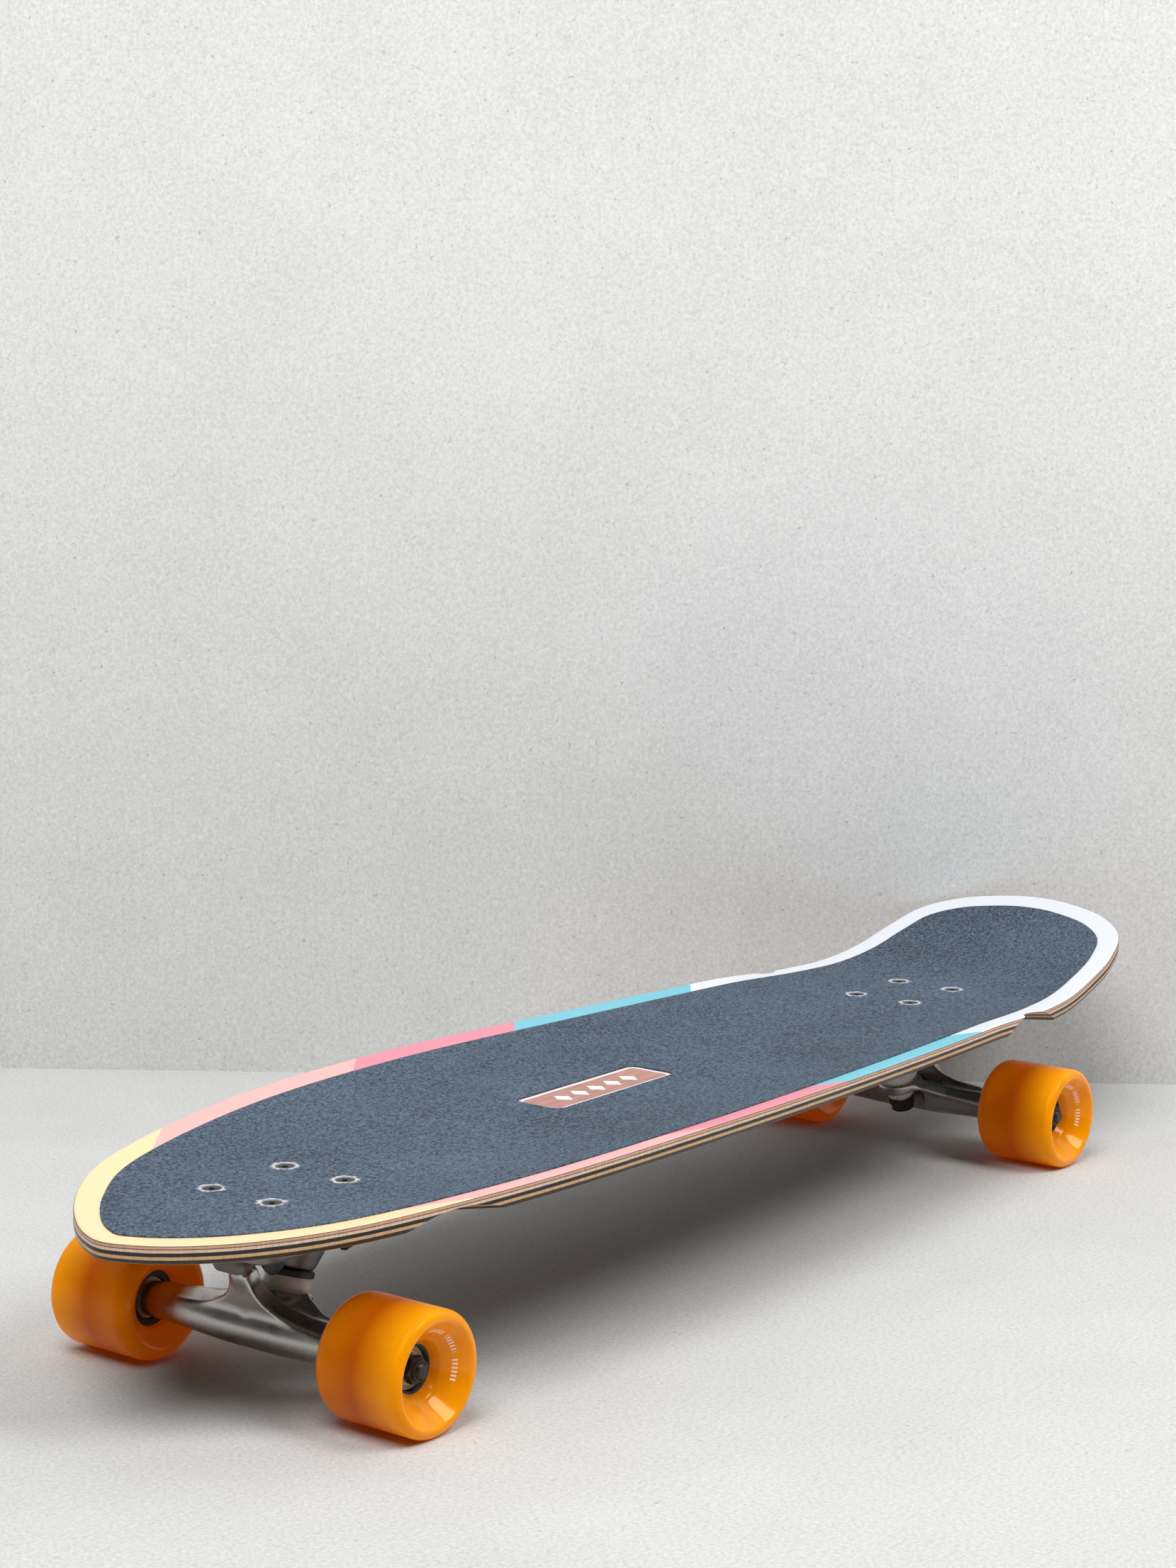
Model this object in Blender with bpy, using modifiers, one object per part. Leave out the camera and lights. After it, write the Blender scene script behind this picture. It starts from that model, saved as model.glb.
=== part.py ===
"""Longboard skateboard: a kicktail deck on two steering trucks with four soft wheels.

Metres, +Z up. +X points to the nose and +Y to the rider's left. The origin is on the floor under
the middle of the deck. A truck is drawn in a frame of its own, whose origin is on the floor under
the middle of its bolts and whose +X points away from the middle of the board. It is set down
twice, turned half round for the rear.
"""

import math

import bmesh
import bpy
from mathutils import Matrix, Vector

GAP = 0.0003

# Deck
DECK_TOP = 0.1019
DECK_THICKNESS = 0.010
DECK_TOP_ROUND = 0.0015
DECK_BOTTOM_ROUND = 0.0028
# Half outline from nose to tail, as (distance from the middle, half width)
DECK_OUTLINE = [
    (0.4573, 0.0), (0.4525, 0.0155), (0.439, 0.036), (0.4165, 0.060), (0.386, 0.082),
    (0.3475, 0.0975), (0.250, 0.118), (0.118, 0.1253), (-0.059, 0.119), (-0.241, 0.1063),
    (-0.361, 0.0925), (-0.397, 0.0885), (-0.425, 0.0792), (-0.4445, 0.056), (-0.455, 0.0235),
    (-0.4573, 0.0),
]
OUTLINE_STEPS = 2
RIM_ANGLE = math.radians(55)
RING_SHARES = (0.0, 0.2, 0.5, 0.77, 1.0)
SPINE_SHARE = 0.82
FLAT_HALF_WIDTH = 0.022
# Rise of the edges in metres per square metre beyond the flat strip, nose to tail
CONCAVE = [(0.21, 1.05), (-0.20, 0.72), (-0.29, 0.25), (-0.40, 0.45)]
TAIL_BEND_X = -0.305
TAIL_BEND_RADIUS = 0.28
TAIL_SLOPE = 0.43

# Grip tape, with a bare window in its middle
GRIP_MARGIN = 0.0145
GRIP_TIP_GAIN = 0.0028
GRIP_TIP_X = 0.40
GRIP_THICKNESS = 0.0006
WINDOW_X = 0.066
WINDOW_LENGTH = 0.112
WINDOW_WIDTH = 0.0325
WINDOW_CORNER = 0.006

# Hollows cut over the wheels, each by a cylinder across the board that leans up to its edge
WELL_RADIUS = 0.078
WELL_LENGTH = 0.066
WELL_X = -0.0141
WELL_TOP_Y = 0.0835
WELL_TOP_Z = 0.0998
WELL_LEAN = math.radians(15.7)
WELL_SIDES = 64

# Truck places and bolts
FRONT_TRUCK_X = 0.3331
REAR_TRUCK_X = -0.2744
BOLT_SPACING_X = 0.053975
BOLT_SPACING_Y = 0.041275
BOLT_HEAD_RADIUS = 0.0049
BOLT_HEAD_DEPTH = 0.0032
BOLT_SUNK = 0.0004
BOLT_RADIUS = 0.0024
BOLT_LENGTH = 0.0362
BOLT_HOLE_RADIUS = 0.0028
BOLT_CHAMFER = 0.0006
BOLT_KEY_RADIUS = 0.0018
BOLT_KEY_DEPTH = 0.0018
DECK_NUT_FLATS = 0.0095
DECK_NUT_HEIGHT = 0.0055

# Every lock nut: share of its height that is six-sided, and its collar's radius over its flats
NUT_HEX_SHARE = 0.72
NUT_COLLAR_SHARE = 0.44

# Riser pad and baseplate
RISER_SIZE = (0.085, 0.059)
RISER_THICKNESS = 0.009
BASE_SIZE = (0.082, 0.057)
BASE_THICKNESS = 0.0088
PLATE_CORNER = 0.010

# Kingpin stack, measured upwards along the kingpin from the middle of the hanger's ring
RING_CENTRE = Vector((-0.004, 0.0, 0.0428))
KINGPIN_LEAN = math.radians(17)
KINGPIN_RADIUS = 0.00476
KINGPIN_TIP = -0.021
KINGPIN_CHAMFER = 0.001
KINGPIN_HEAD = 0.0325
KINGPIN_HEAD_HEIGHT = 0.006
KINGPIN_FLATS = 0.01429
KINGPIN_NUT_TOP = -0.0108
KINGPIN_NUT_HEIGHT = 0.0085
BOSS_LOW = 0.0153
BOSS_HIGH = 0.0345
BOSS_LOW_RADIUS = 0.0127
BOSS_HIGH_RADIUS = 0.0185
TOP_WASHER = (0.0135, 0.0150, 0.0131)
BOTTOM_WASHER = (-0.0105, -0.0093, 0.0082)
# Bushings as (radius, height), between their washers and their seats in the ring
TOP_BUSHING = [(0.0106, 0.0134), (0.0121, 0.0098), (0.0131, 0.0060), (0.0121, 0.0037), (0.0121, 0.0015)]
BOTTOM_BUSHING = [(0.0112, -0.0015), (0.0112, -0.0040), (0.0088, -0.0082), (0.0082, -0.0092)]

# Pivot, measured upwards along its own axis from the middle of the ball
PIVOT_CENTRE = Vector((0.0295, 0.0, 0.0725))
PIVOT_RADIUS = 0.006
CUP_BOWL_RADIUS = 0.0064
CUP_RADIUS = 0.0082
CUP_TOP = 0.0074
CUP_SHOULDER = 0.0046
CUP_SHOULDER_RADIUS = 0.005
CUP_MOUTH = -0.0042
HOUSING_MOUTH = -0.0046
HOUSING_TOP = 0.0035
HOUSING_LOW_HALF = 0.0108
HOUSING_HIGH_HALF = 0.0117
HOUSING_CHAMFER = 0.0036

# Hanger and axle
AXLE_X = 0.0159
AXLE_RADIUS = 0.00397
AXLE_HALF = 0.10975
AXLE_CHAMFER = 0.0008
HANGER_HALF = 0.075
TUBE_RADIUS = 0.0112
TUBE_WAIST_RADIUS = 0.010
TUBE_END_RADIUS = 0.0093
TUBE_END_CHAMFER = 0.0006
TUBE_FAT_SHARE = 0.25
TUBE_WAIST_SHARE = 0.6
RING_RADIUS = 0.0148
RING_HALF = 0.0036
RING_CHAMFER = 0.0012
RING_LIP = 0.0008
RING_HOLE_RADIUS = 0.0075
SEAT_HALF = 0.0014
TOP_SEAT_RADIUS = 0.0124
TOP_CLEAR_RADIUS = 0.0136
BOTTOM_SEAT_RADIUS = 0.0115
# Half the web seen from the front, as (half width, distance from the axle along the web)
WEB_OUTLINE = [
    (0.0060, 0.0335), (0.0063, 0.0310), (0.0080, 0.0264), (0.0103, 0.0225), (0.0132, 0.0193),
    (0.0175, 0.0165), (0.0230, 0.0142), (0.0330, 0.0112), (0.0500, 0.0090), (0.0500, 0.0),
]
WEB_THICKNESS = 0.010
# Neck under the ball, as (radius, depth below the ball's middle)
NECK_PROFILE = [(0.0054, 0.0050), (0.0060, 0.0085), (0.0058, 0.0120), (0.0046, 0.0180)]
# Half the yoke seen from above, as (half width, distance from the ring's middle)
YOKE_OUTLINE = [
    (0.0130, -0.0040), (0.0180, -0.0012), (0.0220, 0.0006), (0.0265, 0.0030), (0.0330, 0.0062),
    (0.0440, 0.0086), (0.0530, 0.0103), (0.0625, 0.0123), (0.0690, 0.0145), (0.0690, 0.0226),
]
YOKE_THICKNESS = 0.0078
POCKET_TOP_RADIUS = 0.0119
POCKET_RADIUS = 0.0106
POCKET_WAIST = -0.012
POCKET_STRETCH = 1.42

# Wheels and bearings. Y is measured from the middle of the truck
WHEEL_RADIUS = 0.032
WHEEL_Y = 0.09125
WHEEL_HALF_WIDTH = 0.02765
WHEEL_OUTER_ROUND = 0.0045
WHEEL_INNER_ROUND = 0.0085
# Hollows in the wheel's two faces, as (radius, height over the wheel's middle)
OUTER_DISH = [
    (0.0262, 0.0271), (0.0242, 0.0250), (0.0205, 0.0208), (0.0170, 0.0174), (0.0147, 0.0152),
    (0.0136, 0.0134),
]
INNER_DISH = [(0.0242, -0.0270), (0.0185, -0.0227), (0.0155, -0.0196)]
INNER_ROUND_END = -75
INNER_STEP = 0.0008
HUB_RADIUS = 0.015
HUB_LOW_Y = 0.0746
HUB_HIGH_Y = 0.1030
HUB_MOUTH_RADIUS = 0.0126
HUB_RIDGE_RADIUS = 0.0096
BEARING_RADIUS = 0.011
BEARING_WIDTH = 0.007
RACE_RADIUS = 0.0056
SHIELD_RADIUS = 0.0060
SHIELD_RECESS = 0.0003
SHIELD_THICKNESS = 0.0006
OUTER_RACE_BORE = 0.0096
SPACER_RADIUS = 0.0050
WASHER_RADIUS = 0.0061
WASHER_THICKNESS = 0.001
INNER_BEARING_Y = 0.0763
OUTER_BEARING_Y = 0.0933
AXLE_NUT_Y = 0.1016
AXLE_NUT_FLATS = 0.0127
AXLE_NUT_HEIGHT = 0.0063

WHEEL_STEPS = 24
ROUND_STEPS = 18
SMALL_STEPS = 16
TINY_STEPS = 12
BOLT_STEPS = 8
SHARP_ANGLE = math.radians(35)

DECK_BOTTOM = DECK_TOP - DECK_THICKNESS
GRIP_TOP = DECK_TOP + GAP + GRIP_THICKNESS
BOLT_TOP = GRIP_TOP - BOLT_SUNK
RISER_TOP = DECK_BOTTOM - GAP
BASE_TOP = RISER_TOP - RISER_THICKNESS - GAP
BASE_BOTTOM = BASE_TOP - BASE_THICKNESS
AXLE_CENTRE = Vector((AXLE_X, 0.0, WHEEL_RADIUS))
PIVOT_HEIGHT = (PIVOT_CENTRE - AXLE_CENTRE).length
PIVOT_LEAN = math.atan2(PIVOT_CENTRE.x - AXLE_X, PIVOT_CENTRE.z - WHEEL_RADIUS)

# Frames whose Z axis runs along the kingpin, the pivot, the web and the axle
KINGPIN = Matrix.Translation(RING_CENTRE) @ Matrix.Rotation(-KINGPIN_LEAN, 4, "Y")
PIVOT = Matrix.Translation(PIVOT_CENTRE) @ Matrix.Rotation(PIVOT_LEAN, 4, "Y")
WEB = Matrix.Translation(AXLE_CENTRE) @ Matrix.Rotation(PIVOT_LEAN, 4, "Y")
AXLE = Matrix.Translation(AXLE_CENTRE) @ Matrix.Rotation(-math.pi / 2, 4, "X")


def clear_scene():
    for obj in list(bpy.data.objects):
        bpy.data.objects.remove(obj, do_unlink=True)


def make_collection(name):
    collection = bpy.data.collections.new(name)
    bpy.context.scene.collection.children.link(collection)
    return collection


def make_material(name, colour, roughness, metallic=0.0):
    material = bpy.data.materials.new(name)
    material.use_nodes = True
    shader = material.node_tree.nodes["Principled BSDF"]
    shader.inputs["Base Color"].default_value = (*colour, 1.0)
    shader.inputs["Roughness"].default_value = roughness
    shader.inputs["Metallic"].default_value = metallic
    return material


def add_object(name, mesh, collection):
    obj = bpy.data.objects.new(name, mesh)
    collection.objects.link(obj)
    return obj


def mesh_from(bm):
    mesh = bpy.data.meshes.new("mesh")
    bm.to_mesh(mesh)
    bm.free()
    return mesh


def bake(obj):
    """Turn an object and its modifiers into a plain mesh, and remove the object."""
    bpy.context.view_layer.update()
    graph = bpy.context.evaluated_depsgraph_get()
    mesh = bpy.data.meshes.new_from_object(obj.evaluated_get(graph), depsgraph=graph)
    bpy.data.objects.remove(obj, do_unlink=True)
    return mesh


def boolean(base, others, operation):
    """Cut a mesh with others, join them or keep what they share."""
    obj = add_object("base", base, WORK)
    helpers = [add_object("cutter", mesh, CUTTERS) for mesh in others]
    for helper in helpers:
        helper.hide_render = True
        helper.display_type = "WIRE"
        modifier = obj.modifiers.new("boolean", "BOOLEAN")
        modifier.operation = operation
        modifier.solver = "EXACT"
        modifier.object = helper
    mesh = bake(obj)
    for helper in helpers:
        bpy.data.objects.remove(helper, do_unlink=True)
    return mesh


def placed(mesh, matrix):
    copy = mesh.copy()
    copy.transform(matrix)
    return copy


def turned(profile, steps, ring=False):
    """Turn a profile of (radius, height) about Z. It runs down its outer side."""
    count = len(profile)
    edges = [(i, i + 1) for i in range(count - 1)]
    if ring:
        edges.append((count - 1, 0))
    mesh = bpy.data.meshes.new("profile")
    mesh.from_pydata([(radius, 0.0, height) for radius, height in profile], edges, [])
    obj = add_object("turned", mesh, WORK)
    screw = obj.modifiers.new("screw", "SCREW")
    screw.steps = steps
    screw.render_steps = steps
    screw.use_merge_vertices = True
    screw.merge_threshold = 1e-6
    return bake(obj)


def collar(outer, bore, steps):
    """A turned ring with a straight bore."""
    low = outer[-1][1]
    high = outer[0][1]
    return turned(outer + [(bore, low), (bore, high)], steps, ring=True)


def cone(low_radius, high_radius, low, high, sides):
    """A capped cone, cylinder or prism about Z from one height to another."""
    bm = bmesh.new()
    bmesh.ops.create_cone(bm, cap_ends=True, segments=sides, radius1=low_radius, radius2=high_radius,
                          depth=high - low, matrix=Matrix.Translation((0, 0, (low + high) / 2)))
    return mesh_from(bm)


def rod(radius, low, high, sides):
    return cone(radius, radius, low, high, sides)


def slab(outline, thickness):
    """A flat outline of (x, y), thickened evenly about its plane."""
    curve = bpy.data.curves.new("outline", "CURVE")
    curve.dimensions = "2D"
    curve.fill_mode = "BOTH"
    curve.extrude = thickness / 2
    spline = curve.splines.new("POLY")
    spline.points.add(len(outline) - 1)
    for point, (x, y) in zip(spline.points, outline):
        point.co = (x, y, 0.0, 1.0)
    spline.use_cyclic_u = True
    bm = bmesh.new()
    bm.from_mesh(bake(add_object("outline", curve, WORK)))
    bmesh.ops.remove_doubles(bm, verts=bm.verts, dist=1e-6)
    bmesh.ops.recalc_face_normals(bm, faces=bm.faces)
    return mesh_from(bm)


def rounded_rectangle(length, width, radius, steps=3):
    points = []
    for corner, (side_x, side_y) in enumerate([(1, 1), (-1, 1), (-1, -1), (1, -1)]):
        centre_x = side_x * (length / 2 - radius)
        centre_y = side_y * (width / 2 - radius)
        for i in range(steps + 1):
            angle = math.pi / 2 * (corner + i / steps)
            points.append((centre_x + radius * math.cos(angle), centre_y + radius * math.sin(angle)))
    return points


def mirrored(half):
    """Close a half outline of (half width, along) with its mirror image."""
    return half + [(-width, along) for width, along in reversed(half)]


def arc(centre_radius, centre_height, radius, first, last, steps):
    """Profile points on an arc. Its angles are in degrees, 0 outwards and 90 upwards."""
    points = []
    for i in range(steps + 1):
        angle = math.radians(first + (last - first) * i / steps)
        points.append((centre_radius + radius * math.cos(angle), centre_height + radius * math.sin(angle)))
    return points


def smooth_step(share):
    return share * share * (3 - 2 * share)


def between(before, start, end, after, share):
    """A point between start and end on a smooth curve through all four."""
    t1 = math.sqrt((start - before).length)
    t2 = t1 + math.sqrt((end - start).length)
    t3 = t2 + math.sqrt((after - end).length)
    t = t1 + (t2 - t1) * share
    a = before.lerp(start, t / t1)
    b = start.lerp(end, share)
    c = end.lerp(after, (t - t2) / (t3 - t2))
    return a.lerp(b, t / t2).lerp(b.lerp(c, (t - t1) / (t3 - t1)), share)


def deck_edge():
    """The deck's half outline, read from a smooth curve through its stations."""
    flip = Vector((1, -1))
    points = [Vector(point) for point in DECK_OUTLINE]
    points = [points[1] * flip, *points, points[-2] * flip]
    line = []
    for four in zip(points, points[1:], points[2:], points[3:]):
        line += [between(*four, i / OUTLINE_STEPS) for i in range(OUTLINE_STEPS)]
    return line + [points[-2]]


def grip_edge(line):
    """The half outline moved inwards, a little less at the nose. Its ends stay on the middle line."""
    flip = Vector((1, -1))
    points = [line[1] * flip, *line, line[-2] * flip]
    result = []
    for before, point, after in zip(points, points[1:], points[2:]):
        run = (after - before).normalized()
        share = smooth_step(min(max((point.x - GRIP_TIP_X) / (line[0].x - GRIP_TIP_X), 0.0), 1.0))
        result.append(point + (GRIP_MARGIN - GRIP_TIP_GAIN * share) * Vector((-run.y, run.x)))
    return result


def concave_at(x):
    if x >= CONCAVE[0][0]:
        return CONCAVE[0][1]
    for (start, rise), (end, next_rise) in zip(CONCAVE, CONCAVE[1:]):
        if x >= end:
            return rise + (next_rise - rise) * smooth_step((start - x) / (start - end))
    return CONCAVE[-1][1]


def deck_height(x, y):
    """Height of the wood's upper face: a flat strip, raised edges and a bent tail."""
    beyond = max(abs(y) - FLAT_HALF_WIDTH, 0.0)
    past = max(TAIL_BEND_X - x, 0.0)
    bend = min(past, TAIL_SLOPE * TAIL_BEND_RADIUS)
    rise = bend * bend / (2 * TAIL_BEND_RADIUS) + TAIL_SLOPE * (past - bend)
    return DECK_TOP + concave_at(x) * beyond * beyond + rise


def sheet(line, lift, depth):
    """A sheet that follows the deck's upper face out to an outline, made thick by depth."""
    shares = [-share for share in reversed(RING_SHARES[1:])] + list(RING_SHARES)
    middle = (line[0].x + line[-1].x) / 2
    bm = bmesh.new()
    bmesh.ops.create_grid(bm, x_segments=len(line) - 1, y_segments=len(shares) - 1, size=0.5)
    for vert in bm.verts:
        edge = line[round((0.5 - vert.co.x) * (len(line) - 1))]
        share = shares[round((0.5 + vert.co.y) * (len(shares) - 1))]
        x = middle + (edge.x - middle) * (SPINE_SHARE + (1 - SPINE_SHARE) * abs(share))
        y = edge.y * share
        vert.co = (x, y, deck_height(x, y) + lift)
    bmesh.ops.remove_doubles(bm, verts=bm.verts, dist=1e-6)
    bmesh.ops.triangulate(bm, faces=bm.faces[:])
    grown = bmesh.ops.extrude_face_region(bm, geom=bm.faces[:])
    for item in grown["geom"]:
        if isinstance(item, bmesh.types.BMVert):
            item.co.z += depth
    bmesh.ops.recalc_face_normals(bm, faces=bm.faces)
    return bm


def round_rim(bm):
    """Round the deck's upper and lower rim."""
    for radius, upper in ((DECK_TOP_ROUND, True), (DECK_BOTTOM_ROUND, False)):
        rim = []
        for edge in bm.edges:
            middle = (edge.verts[0].co + edge.verts[1].co) / 2
            above = middle.z > deck_height(middle.x, middle.y) - DECK_THICKNESS / 2
            if above == upper and edge.calc_face_angle() > RIM_ANGLE:
                rim.append(edge)
        segments = 1 if upper else 2
        bmesh.ops.bevel(bm, geom=rim, offset=radius, segments=segments, profile=0.5, affect="EDGES")


def truck_frames():
    front = Matrix.Translation((FRONT_TRUCK_X, 0, 0))
    rear = Matrix.Translation((REAR_TRUCK_X, 0, 0)) @ Matrix.Rotation(math.pi, 4, "Z")
    return {"front": front, "rear": rear}


def bolt_places():
    """The four bolts of a truck, in its own frame."""
    return [Vector((side_x * BOLT_SPACING_X / 2, side_y * BOLT_SPACING_Y / 2, 0))
            for side_x in (1, -1) for side_y in (1, -1)]


def well_cutter(side):
    lean = Matrix.Rotation(side * WELL_LEAN, 4, "X")
    top = Matrix.Translation((WELL_X, side * WELL_TOP_Y, WELL_TOP_Z))
    centre = top @ lean @ Matrix.Translation((0, 0, -WELL_RADIUS)) @ Matrix.Rotation(math.pi / 2, 4, "X")
    return placed(rod(WELL_RADIUS, -WELL_LENGTH / 2, WELL_LENGTH / 2, WELL_SIDES), centre)


def bolt_hole():
    """A countersunk hole for one bolt through the deck."""
    rim = BOLT_HEAD_RADIUS + GAP
    profile = [(0.0, GRIP_TOP + GAP), (rim, GRIP_TOP + GAP), (rim, BOLT_TOP - GAP),
               (BOLT_HOLE_RADIUS, BOLT_TOP - BOLT_HEAD_DEPTH - GAP),
               (BOLT_HOLE_RADIUS, DECK_BOTTOM - 2 * GAP), (0.0, DECK_BOTTOM - 2 * GAP)]
    return turned(profile, BOLT_STEPS)


def deck_mesh():
    bm = sheet(deck_edge(), 0.0, -DECK_THICKNESS)
    round_rim(bm)
    cutters = []
    for frame in truck_frames().values():
        cutters += [placed(well_cutter(side), frame) for side in (1, -1)]
        cutters += [placed(bolt_hole(), frame @ Matrix.Translation(place)) for place in bolt_places()]
    return boolean(mesh_from(bm), cutters, "DIFFERENCE")


def griptape_mesh():
    """A sheet over the whole deck, cut back to its margin and round the window and the bolts."""
    rim = grip_edge(deck_edge())
    outline = [tuple(point) for point in rim] + [(point.x, -point.y) for point in reversed(rim[1:-1])]
    above_deck = placed(slab(outline, 2 * DECK_TOP), Matrix.Translation((0, 0, DECK_TOP)))
    blank = boolean(mesh_from(sheet(deck_edge(), GAP, GRIP_THICKNESS)), [above_deck], "INTERSECT")
    window = slab(rounded_rectangle(WINDOW_LENGTH, WINDOW_WIDTH, WINDOW_CORNER), 0.01)
    cutters = [placed(window, Matrix.Translation((WINDOW_X, 0, DECK_TOP)))]
    hole = rod(BOLT_HEAD_RADIUS + 2 * GAP, DECK_TOP - GAP, GRIP_TOP + GAP, BOLT_STEPS)
    for frame in truck_frames().values():
        cutters += [placed(hole, frame @ Matrix.Translation(place)) for place in bolt_places()]
    return boolean(blank, cutters, "DIFFERENCE")


def plate(size, top, thickness):
    """A rounded plate under a height, with the truck's four bolt holes still to cut."""
    blank = slab(rounded_rectangle(*size, PLATE_CORNER), thickness)
    return placed(blank, Matrix.Translation((0, 0, top - thickness / 2)))


def plate_holes(top, thickness):
    hole = rod(BOLT_HOLE_RADIUS, top - thickness - GAP, top + GAP, BOLT_STEPS)
    return [placed(hole, Matrix.Translation(place)) for place in bolt_places()]


def riser_mesh():
    blank = plate(RISER_SIZE, RISER_TOP, RISER_THICKNESS)
    return boolean(blank, plate_holes(RISER_TOP, RISER_THICKNESS), "DIFFERENCE")


def housing_mesh():
    """Tapered block with its upright corners cut off, which holds the pivot cup."""
    corner = math.sqrt(2)
    block = cone(HOUSING_LOW_HALF * corner, HOUSING_HIGH_HALF * corner, HOUSING_MOUTH, HOUSING_TOP, 4)
    bm = bmesh.new()
    bm.from_mesh(placed(block, Matrix.Rotation(math.pi / 4, 4, "Z")))
    upright = [edge for edge in bm.edges if abs(edge.verts[0].co.z - edge.verts[1].co.z) > GAP]
    bmesh.ops.bevel(bm, geom=upright, offset=HOUSING_CHAMFER, segments=1, affect="EDGES")
    return mesh_from(bm)


def cup_bore():
    """The space for the pivot cup, with its domed end."""
    profile = [(0.0, CUP_TOP + GAP), (CUP_SHOULDER_RADIUS + GAP, CUP_TOP + GAP),
               (CUP_RADIUS + GAP, CUP_SHOULDER + GAP), (CUP_RADIUS + GAP, 2 * HOUSING_MOUTH),
               (0.0, 2 * HOUSING_MOUTH)]
    return turned(profile, SMALL_STEPS)


def hexagon(flats, low, high):
    return rod(flats / math.sqrt(3), low, high, 6)


def baseplate_mesh():
    """Flange, kingpin boss and pivot housing, cast as one."""
    flange = plate(BASE_SIZE, BASE_TOP, BASE_THICKNESS)
    boss = placed(cone(BOSS_LOW_RADIUS, BOSS_HIGH_RADIUS, BOSS_LOW, BOSS_HIGH, ROUND_STEPS), KINGPIN)
    solid = boolean(flange, [boss, placed(housing_mesh(), PIVOT)], "UNION")
    past_top = KINGPIN_HEAD + 2 * KINGPIN_HEAD_HEIGHT
    cutters = plate_holes(BASE_TOP, BASE_THICKNESS)
    cutters.append(placed(rod(KINGPIN_RADIUS + GAP, 0.0, past_top, SMALL_STEPS), KINGPIN))
    cutters.append(placed(hexagon(KINGPIN_FLATS + 2 * GAP, KINGPIN_HEAD - GAP, past_top), KINGPIN))
    cutters.append(placed(cup_bore(), PIVOT))
    return boolean(solid, cutters, "DIFFERENCE")


def pivot_cup_mesh():
    bowl = arc(0.0, 0.0, CUP_BOWL_RADIUS, 0, 90, 3)
    bowl[-1] = (0.0, CUP_BOWL_RADIUS)
    profile = [(0.0, CUP_TOP), (CUP_SHOULDER_RADIUS, CUP_TOP), (CUP_RADIUS, CUP_SHOULDER),
               (CUP_RADIUS, CUP_MOUTH), (CUP_BOWL_RADIUS, CUP_MOUTH), *bowl]
    return placed(turned(profile, SMALL_STEPS), PIVOT)


def kingpin_mesh():
    overlap = KINGPIN_HEAD_HEIGHT / 2
    tip_radius = KINGPIN_RADIUS - KINGPIN_CHAMFER
    shaft = turned([(0.0, KINGPIN_HEAD + overlap), (KINGPIN_RADIUS, KINGPIN_HEAD + overlap),
                    (KINGPIN_RADIUS, KINGPIN_TIP + KINGPIN_CHAMFER), (tip_radius, KINGPIN_TIP),
                    (0.0, KINGPIN_TIP)], SMALL_STEPS)
    head = hexagon(KINGPIN_FLATS, KINGPIN_HEAD, KINGPIN_HEAD + KINGPIN_HEAD_HEIGHT)
    return placed(boolean(head, [shaft], "UNION"), KINGPIN)


def lock_nut(flats, height, bore, steps):
    """A nut whose flat face is at height 0, with a round collar on its lower end."""
    hex_low = -height * NUT_HEX_SHARE
    lower = rod(flats * NUT_COLLAR_SHARE, -height, hex_low / 2, steps)
    body = boolean(hexagon(flats, hex_low, 0.0), [lower], "UNION")
    return boolean(body, [rod(bore, -2 * height, height, steps)], "DIFFERENCE")


def kingpin_nut_mesh():
    nut = lock_nut(KINGPIN_FLATS, KINGPIN_NUT_HEIGHT, KINGPIN_RADIUS + GAP, TINY_STEPS)
    return placed(nut, KINGPIN @ Matrix.Translation((0, 0, KINGPIN_NUT_TOP)))


def washer_mesh(low, high, radius):
    """A flat washer on the kingpin, between two heights."""
    return placed(collar([(radius, high), (radius, low)], KINGPIN_RADIUS + GAP, SMALL_STEPS), KINGPIN)


def top_bushing_mesh():
    """Barrel shaped, seated in the ring from above."""
    return placed(collar(TOP_BUSHING, KINGPIN_RADIUS + GAP, SMALL_STEPS), KINGPIN)


def bottom_bushing_mesh():
    """Cone shaped, seated in the ring from below."""
    return placed(collar(BOTTOM_BUSHING, KINGPIN_RADIUS + GAP, SMALL_STEPS), KINGPIN)


def tube_mesh():
    """The hanger's tube, fat in its middle and tapered to its ends."""
    half = [(0.0, HANGER_HALF), (TUBE_END_RADIUS - TUBE_END_CHAMFER, HANGER_HALF),
            (TUBE_END_RADIUS, HANGER_HALF - TUBE_END_CHAMFER),
            (TUBE_WAIST_RADIUS, HANGER_HALF * TUBE_WAIST_SHARE),
            (TUBE_RADIUS, HANGER_HALF * TUBE_FAT_SHARE)]
    profile = half + [(radius, -height) for radius, height in reversed(half)]
    return placed(turned(profile, ROUND_STEPS), AXLE)


def neck_mesh():
    """The neck between the web and the ball that turns in the pivot cup."""
    ball = arc(0.0, PIVOT_HEIGHT, PIVOT_RADIUS, 90, 0, 3)
    ball[0] = (0.0, PIVOT_HEIGHT + PIVOT_RADIUS)
    sides = [(radius, PIVOT_HEIGHT - depth) for radius, depth in NECK_PROFILE]
    low = TUBE_RADIUS / 2
    profile = [*ball, *sides, (sides[-1][0], low), (0.0, low)]
    return placed(turned(profile, TINY_STEPS), WEB)


def web_mesh():
    """The upright plate that carries the neck, square to the front."""
    upright = Matrix.Rotation(math.pi / 2, 4, "Y") @ Matrix.Rotation(math.pi / 2, 4, "Z")
    return placed(slab(mirrored(WEB_OUTLINE), WEB_THICKNESS), WEB @ upright)


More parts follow.
